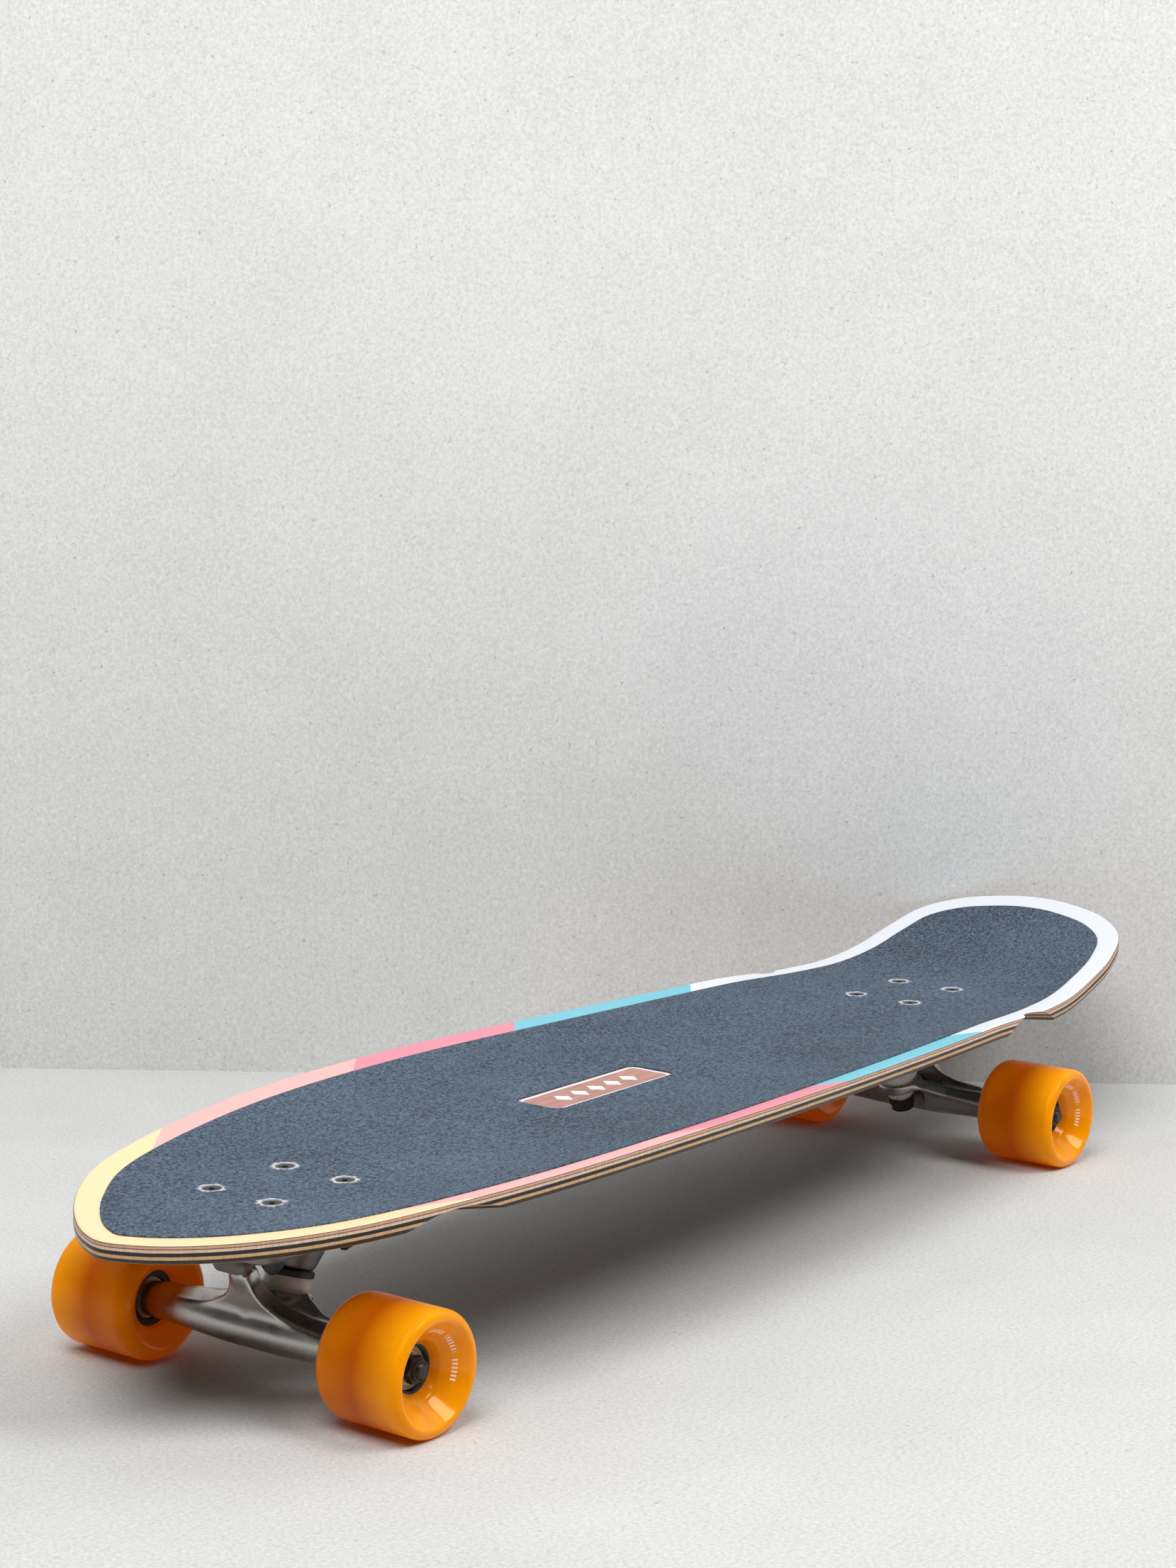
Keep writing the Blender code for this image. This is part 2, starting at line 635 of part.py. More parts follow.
def yoke_mesh():
    """The plate that slopes up from the tube to the ring."""
    slope = math.atan2(RING_CENTRE.z - WHEEL_RADIUS, AXLE_X - RING_CENTRE.x)
    lying = Matrix.Rotation(slope, 4, "Y") @ Matrix.Rotation(-math.pi / 2, 4, "Z")
    blank = slab(mirrored(YOKE_OUTLINE), YOKE_THICKNESS)
    return placed(blank, Matrix.Translation(RING_CENTRE) @ lying)


def ring_mesh():
    narrow = RING_RADIUS - RING_CHAMFER
    low = -RING_HALF - RING_LIP
    profile = [(0.0, RING_HALF), (narrow, RING_HALF), (RING_RADIUS, RING_HALF - RING_CHAMFER),
               (RING_RADIUS, -RING_HALF), (narrow, low), (0.0, low)]
    return placed(turned(profile, ROUND_STEPS), KINGPIN)


def kingpin_pocket():
    """Room for the lower bushing and the nut, wider across the truck so that the hanger can lean."""
    past_tip = 1.5 * KINGPIN_TIP
    profile = [(0.0, -RING_HALF), (POCKET_TOP_RADIUS, -RING_HALF), (POCKET_RADIUS, POCKET_WAIST),
               (POCKET_RADIUS, past_tip), (0.0, past_tip)]
    stretch = Matrix.Diagonal((1.0, POCKET_STRETCH, 1.0, 1.0))
    return placed(turned(profile, SMALL_STEPS), KINGPIN @ stretch)


def hanger_mesh():
    """Tube, web, neck, yoke and ring, cast as one, with seats for both bushings."""
    solid = boolean(tube_mesh(), [web_mesh(), neck_mesh(), yoke_mesh(), ring_mesh()], "UNION")
    cutters = [
        kingpin_pocket(),
        placed(rod(BOTTOM_SEAT_RADIUS, -1.5 * RING_HALF, -SEAT_HALF, SMALL_STEPS), KINGPIN),
        placed(rod(TOP_SEAT_RADIUS, SEAT_HALF, BOSS_LOW, SMALL_STEPS), KINGPIN),
        placed(rod(TOP_CLEAR_RADIUS, RING_HALF, BOSS_LOW, SMALL_STEPS), KINGPIN),
        placed(rod(RING_HOLE_RADIUS, -2 * RING_HALF, 2 * RING_HALF, TINY_STEPS), KINGPIN),
        placed(rod(AXLE_RADIUS + GAP, -AXLE_HALF, AXLE_HALF, TINY_STEPS), AXLE),
    ]
    return boolean(solid, cutters, "DIFFERENCE")


def axle_mesh():
    tip_radius = AXLE_RADIUS - AXLE_CHAMFER
    half = [(0.0, AXLE_HALF), (tip_radius, AXLE_HALF), (AXLE_RADIUS, AXLE_HALF - AXLE_CHAMFER)]
    profile = half + [(radius, -height) for radius, height in reversed(half)]
    return placed(turned(profile, TINY_STEPS), AXLE)


def wheel_mesh():
    """Soft tyre cast round a hard hub with two bearing seats. Height 0 is the wheel's middle."""
    half = WHEEL_HALF_WIDTH
    hub_low = HUB_LOW_Y - WHEEL_Y
    hub_high = HUB_HIGH_Y - WHEEL_Y
    seat = BEARING_RADIUS + GAP
    ridge_low = INNER_BEARING_Y + BEARING_WIDTH + GAP - WHEEL_Y
    ridge_high = OUTER_BEARING_Y - GAP - WHEEL_Y
    outer_round = arc(WHEEL_RADIUS - WHEEL_OUTER_ROUND, half - WHEEL_OUTER_ROUND, WHEEL_OUTER_ROUND,
                      90, 0, 3)
    inner_round = arc(WHEEL_RADIUS - WHEEL_INNER_ROUND, WHEEL_INNER_ROUND - half, WHEEL_INNER_ROUND,
                      0, INNER_ROUND_END, 2)
    profile = [
        *outer_round, *inner_round, *INNER_DISH, (HUB_RADIUS, INNER_DISH[-1][1] + INNER_STEP),
        (HUB_RADIUS, hub_low), (seat, hub_low), (seat, ridge_low), (HUB_RIDGE_RADIUS, ridge_low),
        (HUB_RIDGE_RADIUS, ridge_high), (seat, ridge_high), (seat, hub_high),
        (HUB_MOUTH_RADIUS, hub_high), *reversed(OUTER_DISH),
    ]
    mesh = turned(profile, WHEEL_STEPS, ring=True)
    mesh.materials.append(MATERIALS["tyre"])
    mesh.materials.append(MATERIALS["plastic"])
    for face in mesh.polygons:
        radius = face.center.xy.length
        if radius < HUB_RADIUS and hub_low - GAP < face.center.z < hub_high + GAP:
            face.material_index = 1
    return mesh


def bearing_mesh():
    """Outer race with a shield on each side. Height 0 is its lower face."""
    inside_low = SHIELD_RECESS + SHIELD_THICKNESS
    inside_high = BEARING_WIDTH - inside_low
    profile = [(SHIELD_RADIUS, BEARING_WIDTH - SHIELD_RECESS), (BEARING_RADIUS, BEARING_WIDTH),
               (BEARING_RADIUS, 0.0), (SHIELD_RADIUS, SHIELD_RECESS), (SHIELD_RADIUS, inside_low),
               (OUTER_RACE_BORE, inside_low), (OUTER_RACE_BORE, inside_high),
               (SHIELD_RADIUS, inside_high)]
    return turned(profile, TINY_STEPS, ring=True)


def spacer_mesh():
    """What the axle nut clamps: spacer, inner races and washers. Height 0 is the middle of the truck."""
    race_ends = (OUTER_BEARING_Y + BEARING_WIDTH, OUTER_BEARING_Y, INNER_BEARING_Y + BEARING_WIDTH,
                 INNER_BEARING_Y)
    outer = [(WASHER_RADIUS, race_ends[0] + WASHER_THICKNESS), (WASHER_RADIUS, race_ends[0]),
             (RACE_RADIUS, race_ends[0]), (RACE_RADIUS, race_ends[1]), (SPACER_RADIUS, race_ends[1]),
             (SPACER_RADIUS, race_ends[2]), (RACE_RADIUS, race_ends[2]), (RACE_RADIUS, race_ends[3]),
             (WASHER_RADIUS, race_ends[3]), (WASHER_RADIUS, race_ends[3] - WASHER_THICKNESS)]
    return collar(outer, AXLE_RADIUS + GAP, TINY_STEPS)


def axle_nut_mesh():
    """Height 0 is the truck's middle."""
    nut = lock_nut(AXLE_NUT_FLATS, AXLE_NUT_HEIGHT, AXLE_RADIUS + GAP, TINY_STEPS)
    turn = Matrix.Rotation(math.pi, 4, "X")
    return placed(nut, Matrix.Translation((0, 0, AXLE_NUT_Y)) @ turn)


def deck_bolt_mesh():
    tip = BOLT_TOP - BOLT_LENGTH
    bolt = turned([(0.0, BOLT_TOP), (BOLT_HEAD_RADIUS, BOLT_TOP), (BOLT_HEAD_RADIUS, BOLT_TOP - GAP),
                   (BOLT_RADIUS, BOLT_TOP - BOLT_HEAD_DEPTH), (BOLT_RADIUS, tip + BOLT_CHAMFER),
                   (BOLT_RADIUS - BOLT_CHAMFER, tip), (0.0, tip)], BOLT_STEPS)
    key = rod(BOLT_KEY_RADIUS, BOLT_TOP - BOLT_KEY_DEPTH, BOLT_TOP + GAP, 6)
    return boolean(bolt, [key], "DIFFERENCE")


def deck_nut_mesh():
    nut = lock_nut(DECK_NUT_FLATS, DECK_NUT_HEIGHT, BOLT_RADIUS + GAP, BOLT_STEPS)
    return placed(nut, Matrix.Translation((0, 0, BASE_BOTTOM - GAP)))


def add_part(name, mesh, material, parent=None, location=(0, 0, 0), rotation=(0, 0, 0)):
    """Make a named sub-part, placed in the frame of its parent."""
    if not mesh.materials:
        mesh.materials.append(MATERIALS[material])
    mesh.shade_smooth()
    mesh.set_sharp_from_angle(angle=SHARP_ANGLE)
    obj = add_object(name, mesh, PARTS)
    obj.parent = parent
    obj.location = location
    obj.rotation_euler = rotation
    return obj


def add_empty(name, location, parent=None, turn=0.0):
    obj = add_object(name, None, PARTS)
    obj.empty_display_size = 0.02
    obj.parent = parent
    obj.location = location
    obj.rotation_euler = (0, 0, turn)
    return obj


def add_fixed_parts(end, truck, meshes):
    """What is bolted to the deck, in the frame of the truck."""
    for piece, (mesh, material) in meshes.items():
        add_part(f"{end}_{piece}", mesh, material, truck)


def add_bolts(end, truck, bolt, nut):
    for number, place in enumerate(bolt_places(), start=1):
        add_part(f"{end}_deck_bolt_{number}", bolt, "black_steel", truck, place)
        add_part(f"{end}_deck_nut_{number}", nut, "black_steel", truck, place)


def add_steering_parts(end, swing, meshes):
    """What turns with the hanger. Its origin is the ring's middle, on the steering axis."""
    for piece, (mesh, material) in meshes.items():
        add_part(f"{end}_{piece}", mesh, material, swing, -RING_CENTRE)


def add_wheel(end, side, across, swing, meshes):
    """A wheel with its bearings, on a spin axis along the axle that points outwards."""
    outward = (-across * math.pi / 2, 0, 0)
    axle = AXLE_CENTRE - RING_CENTRE
    add_part(f"{end}_{side}_bearing_spacer", meshes["spacer"], "steel", swing, axle, outward)
    add_part(f"{end}_{side}_axle_nut", meshes["axle_nut"], "black_steel", swing, axle, outward)
    hub = add_empty(f"{end}_{side}_spin", axle + Vector((0, across * WHEEL_Y, 0)), swing)
    add_part(f"{end}_{side}_wheel", meshes["wheel"], "tyre", hub, rotation=outward)
    for bearing, start in (("inner", INNER_BEARING_Y), ("outer", OUTER_BEARING_Y)):
        offset = Vector((0, across * (start - WHEEL_Y), 0))
        add_part(f"{end}_{side}_{bearing}_bearing", meshes["bearing"], "steel", hub, offset, outward)


def add_trucks():
    fixed = {
        "riser_pad": (riser_mesh(), "rubber"),
        "baseplate": (baseplate_mesh(), "cast"),
        "pivot_cup": (pivot_cup_mesh(), "plastic"),
        "kingpin": (kingpin_mesh(), "steel"),
        "kingpin_nut": (kingpin_nut_mesh(), "black_steel"),
        "top_washer": (washer_mesh(*TOP_WASHER), "black_steel"),
        "bottom_washer": (washer_mesh(*BOTTOM_WASHER), "steel"),
        "top_bushing": (top_bushing_mesh(), "bushing"),
        "bottom_bushing": (bottom_bushing_mesh(), "bushing"),
    }
    steering = {"hanger": (hanger_mesh(), "hanger"), "axle": (axle_mesh(), "steel")}
    rolling = {
        "wheel": wheel_mesh(),
        "bearing": bearing_mesh(),
        "spacer": spacer_mesh(),
        "axle_nut": axle_nut_mesh(),
    }
    bolt = deck_bolt_mesh()
    nut = deck_nut_mesh()
    for end, truck_x, turn in (("front", FRONT_TRUCK_X, 0.0), ("rear", REAR_TRUCK_X, math.pi)):
        truck = add_empty(f"{end}_truck", (truck_x, 0, 0), turn=turn)
        add_fixed_parts(end, truck, fixed)
        add_bolts(end, truck, bolt, nut)
        swing = add_empty(f"{end}_steering", RING_CENTRE, truck)
        add_steering_parts(end, swing, steering)
        for side, left in (("left", 1), ("right", -1)):
            across = left if end == "front" else -left
            add_wheel(end, side, across, swing, rolling)


clear_scene()
PARTS = make_collection("longboard")
WORK = make_collection("work")
CUTTERS = make_collection("cutters")
MATERIALS = {
    "deck": make_material("deck_paint", (0.86, 0.70, 0.44), 0.35),
    "griptape": make_material("grip_grit", (0.05, 0.07, 0.10), 0.9),
    "rubber": make_material("riser_rubber", (0.02, 0.02, 0.02), 0.7),
    "cast": make_material("cast_aluminium", (0.36, 0.35, 0.34), 0.45, 1.0),
    "hanger": make_material("tumbled_aluminium", (0.52, 0.50, 0.48), 0.32, 1.0),
    "bushing": make_material("bushing_urethane", (0.80, 0.74, 0.62), 0.5),
    "black_steel": make_material("black_steel", (0.015, 0.015, 0.017), 0.35, 0.8),
    "steel": make_material("plain_steel", (0.62, 0.61, 0.60), 0.25, 1.0),
    "plastic": make_material("black_plastic", (0.02, 0.02, 0.02), 0.45),
    "tyre": make_material("amber_urethane", (0.85, 0.36, 0.02), 0.25),
}
add_part("deck", deck_mesh(), "deck")
add_part("griptape", griptape_mesh(), "griptape")
add_trucks()
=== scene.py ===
"""Longboard skateboard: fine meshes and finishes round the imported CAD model.

Metres, +Z up. +X points to the nose and +Y to the rider's left. A truck is drawn in a frame of its
own, with its origin on the floor under the middle of its bolts and +X away from the middle of the
board. A turned piece is drawn about Z.
"""

import math

import bmesh
import bpy
import numpy as np
import openvdb
from bpy.props import FloatProperty, FloatVectorProperty, IntProperty, PointerProperty
from mathutils import Matrix, Vector


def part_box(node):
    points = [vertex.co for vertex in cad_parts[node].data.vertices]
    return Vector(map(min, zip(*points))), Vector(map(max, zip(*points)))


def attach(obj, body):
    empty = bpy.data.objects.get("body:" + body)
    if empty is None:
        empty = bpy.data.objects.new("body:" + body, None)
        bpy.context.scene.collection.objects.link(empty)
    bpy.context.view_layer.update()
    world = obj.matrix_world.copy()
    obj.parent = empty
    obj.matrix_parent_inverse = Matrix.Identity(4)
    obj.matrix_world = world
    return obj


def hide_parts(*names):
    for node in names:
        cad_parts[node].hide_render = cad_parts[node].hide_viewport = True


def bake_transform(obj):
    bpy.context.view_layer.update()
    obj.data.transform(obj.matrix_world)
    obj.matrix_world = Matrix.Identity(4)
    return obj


bl_info = {
    "name": "Longboard Skateboard",
    "version": (1, 0, 0),
    "blender": (4, 5, 0),
    "location": "3D View > Sidebar > Longboard",
    "description": "Builds the deck, trucks, wheels and fasteners of a longboard with their finishes",
    "category": "Add Mesh",
}

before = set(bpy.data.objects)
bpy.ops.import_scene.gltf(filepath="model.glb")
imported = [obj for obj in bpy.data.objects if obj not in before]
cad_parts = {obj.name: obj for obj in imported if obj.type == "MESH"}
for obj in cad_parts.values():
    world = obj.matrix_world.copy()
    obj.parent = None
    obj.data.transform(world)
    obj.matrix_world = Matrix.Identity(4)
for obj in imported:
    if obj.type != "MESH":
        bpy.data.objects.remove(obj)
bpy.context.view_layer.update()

ENDS = ("front", "rear")
SIDES = {"left": 1, "right": -1}
WELD = 1e-6
SHARP_ANGLE = 32
NOISE_REACH = (0.3, 0.7)

# Faces round turned pieces
WELL_STEPS = 256
HOLE_STEPS = 40
RISER_HOLE_STEPS = 32
ROD_STEPS = 48
RING_STEPS = 64
WIDE_RING_STEPS = 72

# Clearance between separate pieces, and the least room round a piece in its seat
GAP = 0.0003
SNUG = 0.0001

# Deck sheet
DECK_TOP = 0.1019
DECK_OUTLINE = [
    (0.4573, 0.0), (0.4525, 0.0155), (0.439, 0.036), (0.4165, 0.060), (0.386, 0.082),
    (0.3475, 0.0975), (0.250, 0.118), (0.118, 0.1253), (-0.059, 0.119), (-0.241, 0.1063),
    (-0.361, 0.0925), (-0.397, 0.0885), (-0.425, 0.0792), (-0.4445, 0.056), (-0.455, 0.0235),
    (-0.4573, 0.0),
]
TIP_X = 0.40
SPINE_SHARE = 0.82
FLAT_HALF_WIDTH = 0.022
CONCAVE = [(0.21, 1.05), (-0.20, 0.72), (-0.29, 0.25), (-0.40, 0.45)]
TAIL_BEND_X = -0.305
TAIL_BEND_RADIUS = 0.28
TAIL_SLOPE = 0.43

# Bare window in the grip tape, whose margin is narrower at the nose
GRIP_TIP_GAIN = 0.0028
WINDOW_X = 0.066
WINDOW_LENGTH = 0.112
WINDOW_WIDTH = 0.0325
WINDOW_CORNER = 0.006
WINDOW_LINE = (-0.0031, -0.0006)
GRIP_EDGE = 0.0003
GRIP_LIFT = 0.00002
CUT_REACH = 0.01

# Row of diamonds in the window. Their half length and the row's are shares of the pitch
DIAMOND_PITCH = 0.0155
DIAMOND_HALF = 0.34
DIAMOND_NARROWING = 0.75
DIAMOND_ROW = 2.4

# Where each colour starts: paint along the board, and plies as shares of the rim's depth
PAINT_STARTS = (0.0, 0.4645, 0.651, 0.800, 0.953)
UNDERSIDE_STARTS = (0.0, 0.24, 0.44, 0.76)
PLY_STARTS = (0.0, 0.09, 0.19, 0.25, 0.385, 0.575, 0.735)
PLIES = [(110, 80, 70), (218, 172, 142), (136, 100, 86), (236, 204, 174), (24, 21, 28), (214, 170, 120),
         (28, 26, 30)]

# How far down the rim its top ends, its underside starts, and the flat of the underside starts
RIM_TOP = 0.05
RIM_BOTTOM = 0.955
FLAT_UNDERSIDE = 0.992
STAIN_STRENGTH = 0.8

# Hollows over the wheels
WELL_RADIUS = 0.078
WELL_LENGTH = 0.066
WELL_X = -0.0141
WELL_TOP_Y = 0.0835
WELL_TOP_Z = 0.0998
WELL_LEAN = math.radians(15.7)

# Bolts of a truck
BOLT_SPACING_X = 0.053975
BOLT_SPACING_Y = 0.041275
BOLT_TOP = 0.1024
BOLT_HEAD_RADIUS = 0.0049
BOLT_HEAD_DEPTH = 0.0032
BOLT_RADIUS = 0.0024
BOLT_TIP = 0.0662
BOLT_HOLE_RADIUS = 0.0028
DECK_NUT_TOP = 0.0732
DECK_NUT_FLATS = 0.0095
DECK_NUT_HEIGHT = 0.0055
KEY_FLATS = 0.0032
KEY_DEPTH = 0.0019
BOLT_THREAD = 0.009
BOLT_CHAMFER = 0.0005
BOLT_EDGE = 0.00015

# Lock nuts. The face and the collar are shares of the flats, and the six sides of the height
NUT_FACE_SHARE = 0.475
NUT_COLLAR_SHARE = 0.44
NUT_SIX_SIDED_SHARE = 0.72
NUT_COLLAR_ROOM = 0.0014

# Riser pad and baseplate
RISER_SIZE = (0.085, 0.059)
RISER_TOP = 0.0916
RISER_BOTTOM = 0.0826
BASE_SIZE = (0.082, 0.057)
BASE_TOP = 0.0823
BASE_BOTTOM = 0.0735
PLATE_CORNER = 0.010
RISER_EDGE = 0.0008
FLANGE_EDGE = 0.0012
FLANGE_OVERLAP = 0.003
BASEPLATE_BOX = ((-0.044, -0.031, 0.048), (0.048, 0.031, 0.0835))

# Kingpin stack, measured upwards along the kingpin from the middle of the hanger's ring
RING_CENTRE = Vector((-0.004, 0.0, 0.0428))
KINGPIN_LEAN = math.radians(17)
KINGPIN_RADIUS = 0.00476
KINGPIN_TIP = -0.021
KINGPIN_HEAD = 0.0325
KINGPIN_HEAD_HEIGHT = 0.006
KINGPIN_FLATS = 0.01429
KINGPIN_NUT_TOP = -0.0108
KINGPIN_NUT_HEIGHT = 0.0085
BOSS_LOW = 0.0153
BOSS_HIGH = 0.0345
BOSS_LOW_RADIUS = 0.0127
BOSS_HIGH_RADIUS = 0.0185
BOSS_CHAMFER = 0.001
BORE_REACH = 0.02
TOP_WASHER = (0.0135, 0.0150, 0.0131)
BOTTOM_WASHER = (-0.0105, -0.0093, 0.0082)
WASHER_LIP = 0.0022
LIP_THICKNESS = 0.0008
TIP_CHAMFER = 0.0008

# Pivot, measured upwards along its own axis from the middle of the ball
PIVOT_CENTRE = Vector((0.0295, 0.0, 0.0725))
PIVOT_RADIUS = 0.006
CUP_BOWL_RADIUS = 0.0064
CUP_RADIUS = 0.0082
CUP_MOUTH = -0.0042
HOUSING_MOUTH = -0.0046
HOUSING_LOW_HALF = 0.0108
HOUSING_SPREAD = 0.11
HOUSING_CHAMFER = 0.0036
CUP_SHOULDER = (0.005, 0.0074)
CUP_SIDE_TOP = 0.0046

# Hanger and axle
AXLE_CENTRE = Vector((0.0159, 0.0, 0.032))
AXLE_RADIUS = 0.00397
AXLE_HALF = 0.10975
HANGER_HALF = 0.075
AXLE_BORE_HALF = 0.09
TUBE_PROFILE = [(0.0112, 0.0), (0.0112, 0.0188), (0.0100, 0.045), (0.0093, 0.0744), (0.0087, 0.075)]
RING_RADIUS = 0.0148
RING_HALF = 0.0036
RING_HOLE_RADIUS = 0.0075
RING_HOLE_HALF = 0.008
SEAT_HALF = 0.0014
TOP_SEAT_RADIUS = 0.0124
TOP_CLEAR_RADIUS = 0.0136
BOTTOM_SEAT_RADIUS = 0.0115
BOTTOM_SEAT_LOW = -0.006
WEB_OUTLINE = [
    (0.0060, 0.0335), (0.0063, 0.0310), (0.0080, 0.0264), (0.0103, 0.0225), (0.0132, 0.0193),
    (0.0175, 0.0165), (0.0230, 0.0142), (0.0330, 0.0112), (0.0500, 0.0090), (0.0500, 0.0),
]
WEB_THICKNESS = 0.010
YOKE_OUTLINE = [
    (0.0130, -0.0040), (0.0180, -0.0012), (0.0220, 0.0006), (0.0265, 0.0030), (0.0330, 0.0062),
    (0.0440, 0.0086), (0.0530, 0.0103), (0.0625, 0.0123), (0.0690, 0.0145), (0.0690, 0.0226),
]
YOKE_THICKNESS = 0.0078
NECK_PROFILE = [(0.0054, 0.0050), (0.0060, 0.0085), (0.0058, 0.0120), (0.0046, 0.0180)]
NECK_LOW = 0.0056
POCKET_RADIUS = 0.0106
POCKET_STRETCH = 1.42
POCKET_MOUTH_GAIN = 0.0013
POCKET_TOP = -0.012
POCKET_LOW = -0.032
RING_CHAMFER = 0.0012
RING_LOWER_LIP = 0.0008
WEB_EDGE = 0.0012
YOKE_EDGE = 0.0015
HANGER_BOX = ((-0.024, -0.077, 0.016), (0.044, 0.077, 0.083))

# Roundings of the castings, inside corners first
WIDE_FILLET = 0.005
FILLET = 0.004
NECK_FILLET = 0.003
POCKET_ROUND = 0.0015
SEAT_ROUND = 0.0008
HOLE_ROUND = 0.0006
SOFTENINGS = 2

# Bushings as corners of (radius, height) or (radius, height, fillet)
BARREL = [
    (0.0098, TOP_WASHER[0] - SNUG), (0.0111, TOP_WASHER[0] - SNUG, 0.0005), (0.0121, 0.0098, 0.003),
    (0.0129, 0.0060, 0.002), (0.0121, 0.0037, 0.001), (0.0121, SEAT_HALF + SNUG),
]
CONE = [
    (0.0105, -SEAT_HALF - SNUG), (0.0112, -SEAT_HALF - SNUG), (0.0112, -0.0040, 0.0015),
    (0.0088, -0.0082, 0.0010), (0.0082, BOTTOM_WASHER[1] + SNUG),
]

# Wheels and bearings. Y is measured from the middle of the truck
WHEEL_RADIUS = 0.032
WHEEL_Y = 0.09125
WHEEL_HALF_WIDTH = 0.02765
WHEEL_OUTER_ROUND = 0.0045
WHEEL_INNER_ROUND = 0.0085
OUTER_DISH = [(0.0262, 0.0271), (0.0242, 0.0250), (0.0205, 0.0208), (0.0170, 0.0174), (0.0152, 0.0160)]
OUTER_MOUTH = [(0.0147, 0.0152), (0.0136, 0.0134), (0.0126, 0.0119)]
INNER_DISH = [(0.0242, -0.0270), (0.0215, -0.0251), (0.0185, -0.0227), (0.0163, -0.0208), (0.0155, -0.0196)]
HUB_RADIUS = 0.015
HUB_LOW_Y = 0.0746
HUB_HIGH_Y = 0.1030
HUB_RIDGE_RADIUS = 0.0096
BEARING_RADIUS = 0.011
BEARING_WIDTH = 0.007
RACE_RADIUS = 0.0056
WASHER_RADIUS = 0.0061
WASHER_THICKNESS = 0.001
SPACER_RADIUS = 0.0050
INNER_BEARING_Y = 0.0763
OUTER_BEARING_Y = 0.0933
AXLE_NUT_Y = 0.1016
AXLE_NUT_FLATS = 0.0127
AXLE_NUT_HEIGHT = 0.0063
RACE_BORE = 0.0096
SHIELD_PROFILE = [(0.0097, 0.0001), (0.0090, 0.0), (0.0086, 0.00025), (0.0074, 0.00025), (0.0070, 0.0),
                  (0.0064, 0.0001), (0.0060, 0.0003)]
SHIELD_SINK = 0.0003
SHIELD_THICKNESS = 0.0004

# Hub's ends, from the wheel's middle
HUB_LOW = HUB_LOW_Y - WHEEL_Y
HUB_HIGH = HUB_HIGH_Y - WHEEL_Y

# Printed marks on a wheel: ring, then start, reach, words and dashes as parts of a turn
MARK_RING = (0.0196, 0.0215)
MARK_START = 0.43
MARK_REACH = 0.33
MARK_WORDS = 9.0
WORD_SHARE = 0.8
MARK_DASHES = 66.0
DASH_SHARE = 0.45
MARK_LEAST_HEIGHT = 0.012

# Camera, fitted to the bolts, wheels and axle ends in the photograph
PHOTO_FOCAL = 4277.71
PHOTO_HEIGHT = 2212
SENSOR = 36.0
CAMERA_PLACE = Vector((1.42921, 1.01902, 0.52063))
CAMERA_YAW = 0.645854
CAMERA_PITCH = 0.141458
CAMERA_ROLL = 0.011425

# Stage
FLOOR_SIZE = 12
WALL_HEIGHT = 4
WALL_NORMAL = Vector((0.805, 0.593, 0)).normalized()
KEY_PLACE = Vector((-0.6, 2.3, 3.05))
KEY_SIZE = 1.8
FRONT_PLACE = Vector((1.95, 0.5, 3.5))
FRONT_SIZE = 2.4
LAMP_TARGET = Vector((0, 0, 0.05))

# The line from the axle to the pivot: its lean and its length
PIVOT_LEAN = math.atan2(PIVOT_CENTRE.x - AXLE_CENTRE.x, PIVOT_CENTRE.z - AXLE_CENTRE.z)
PIVOT_HEIGHT = (PIVOT_CENTRE - AXLE_CENTRE).length

# Frames whose Z axis runs along the kingpin, the pivot, the web and the axle
KINGPIN = Matrix.Translation(RING_CENTRE) @ Matrix.Rotation(-KINGPIN_LEAN, 4, "Y")
PIVOT = Matrix.Translation(PIVOT_CENTRE) @ Matrix.Rotation(PIVOT_LEAN, 4, "Y")
WEB = Matrix.Translation(AXLE_CENTRE) @ Matrix.Rotation(PIVOT_LEAN, 4, "Y")
AXLE = Matrix.Translation(AXLE_CENTRE) @ Matrix.Rotation(-math.pi / 2, 4, "X")


def truck_frame(end):
    """A truck's frame in the board's, from where its riser pad is."""
    low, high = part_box(f"{end}_riser_pad")
    turn = 0.0 if end == "front" else math.pi
    return Matrix.Translation(((low.x + high.x) / 2, 0, 0)) @ Matrix.Rotation(turn, 4, "Z")


def wheel_frame(end, side):
    """A frame whose Z axis runs outwards along the axle from the middle of the truck."""
    low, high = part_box(f"{end}_axle")
    turn = Matrix.Rotation(-SIDES[side] * math.pi / 2, 4, "X")
    return Matrix.Translation((low + high) / 2) @ turn


def bolt_places():
    return [Vector((side_x * BOLT_SPACING_X / 2, side_y * BOLT_SPACING_Y / 2, 0))
            for side_x in (1, -1) for side_y in (1, -1)]


# Settings that a user would change


def colour_setting(name, description, colour):
    return FloatVectorProperty(name=name, description=description, subtype="COLOR", size=4, min=0.0,
                               max=1.0, default=(*colour, 1.0))


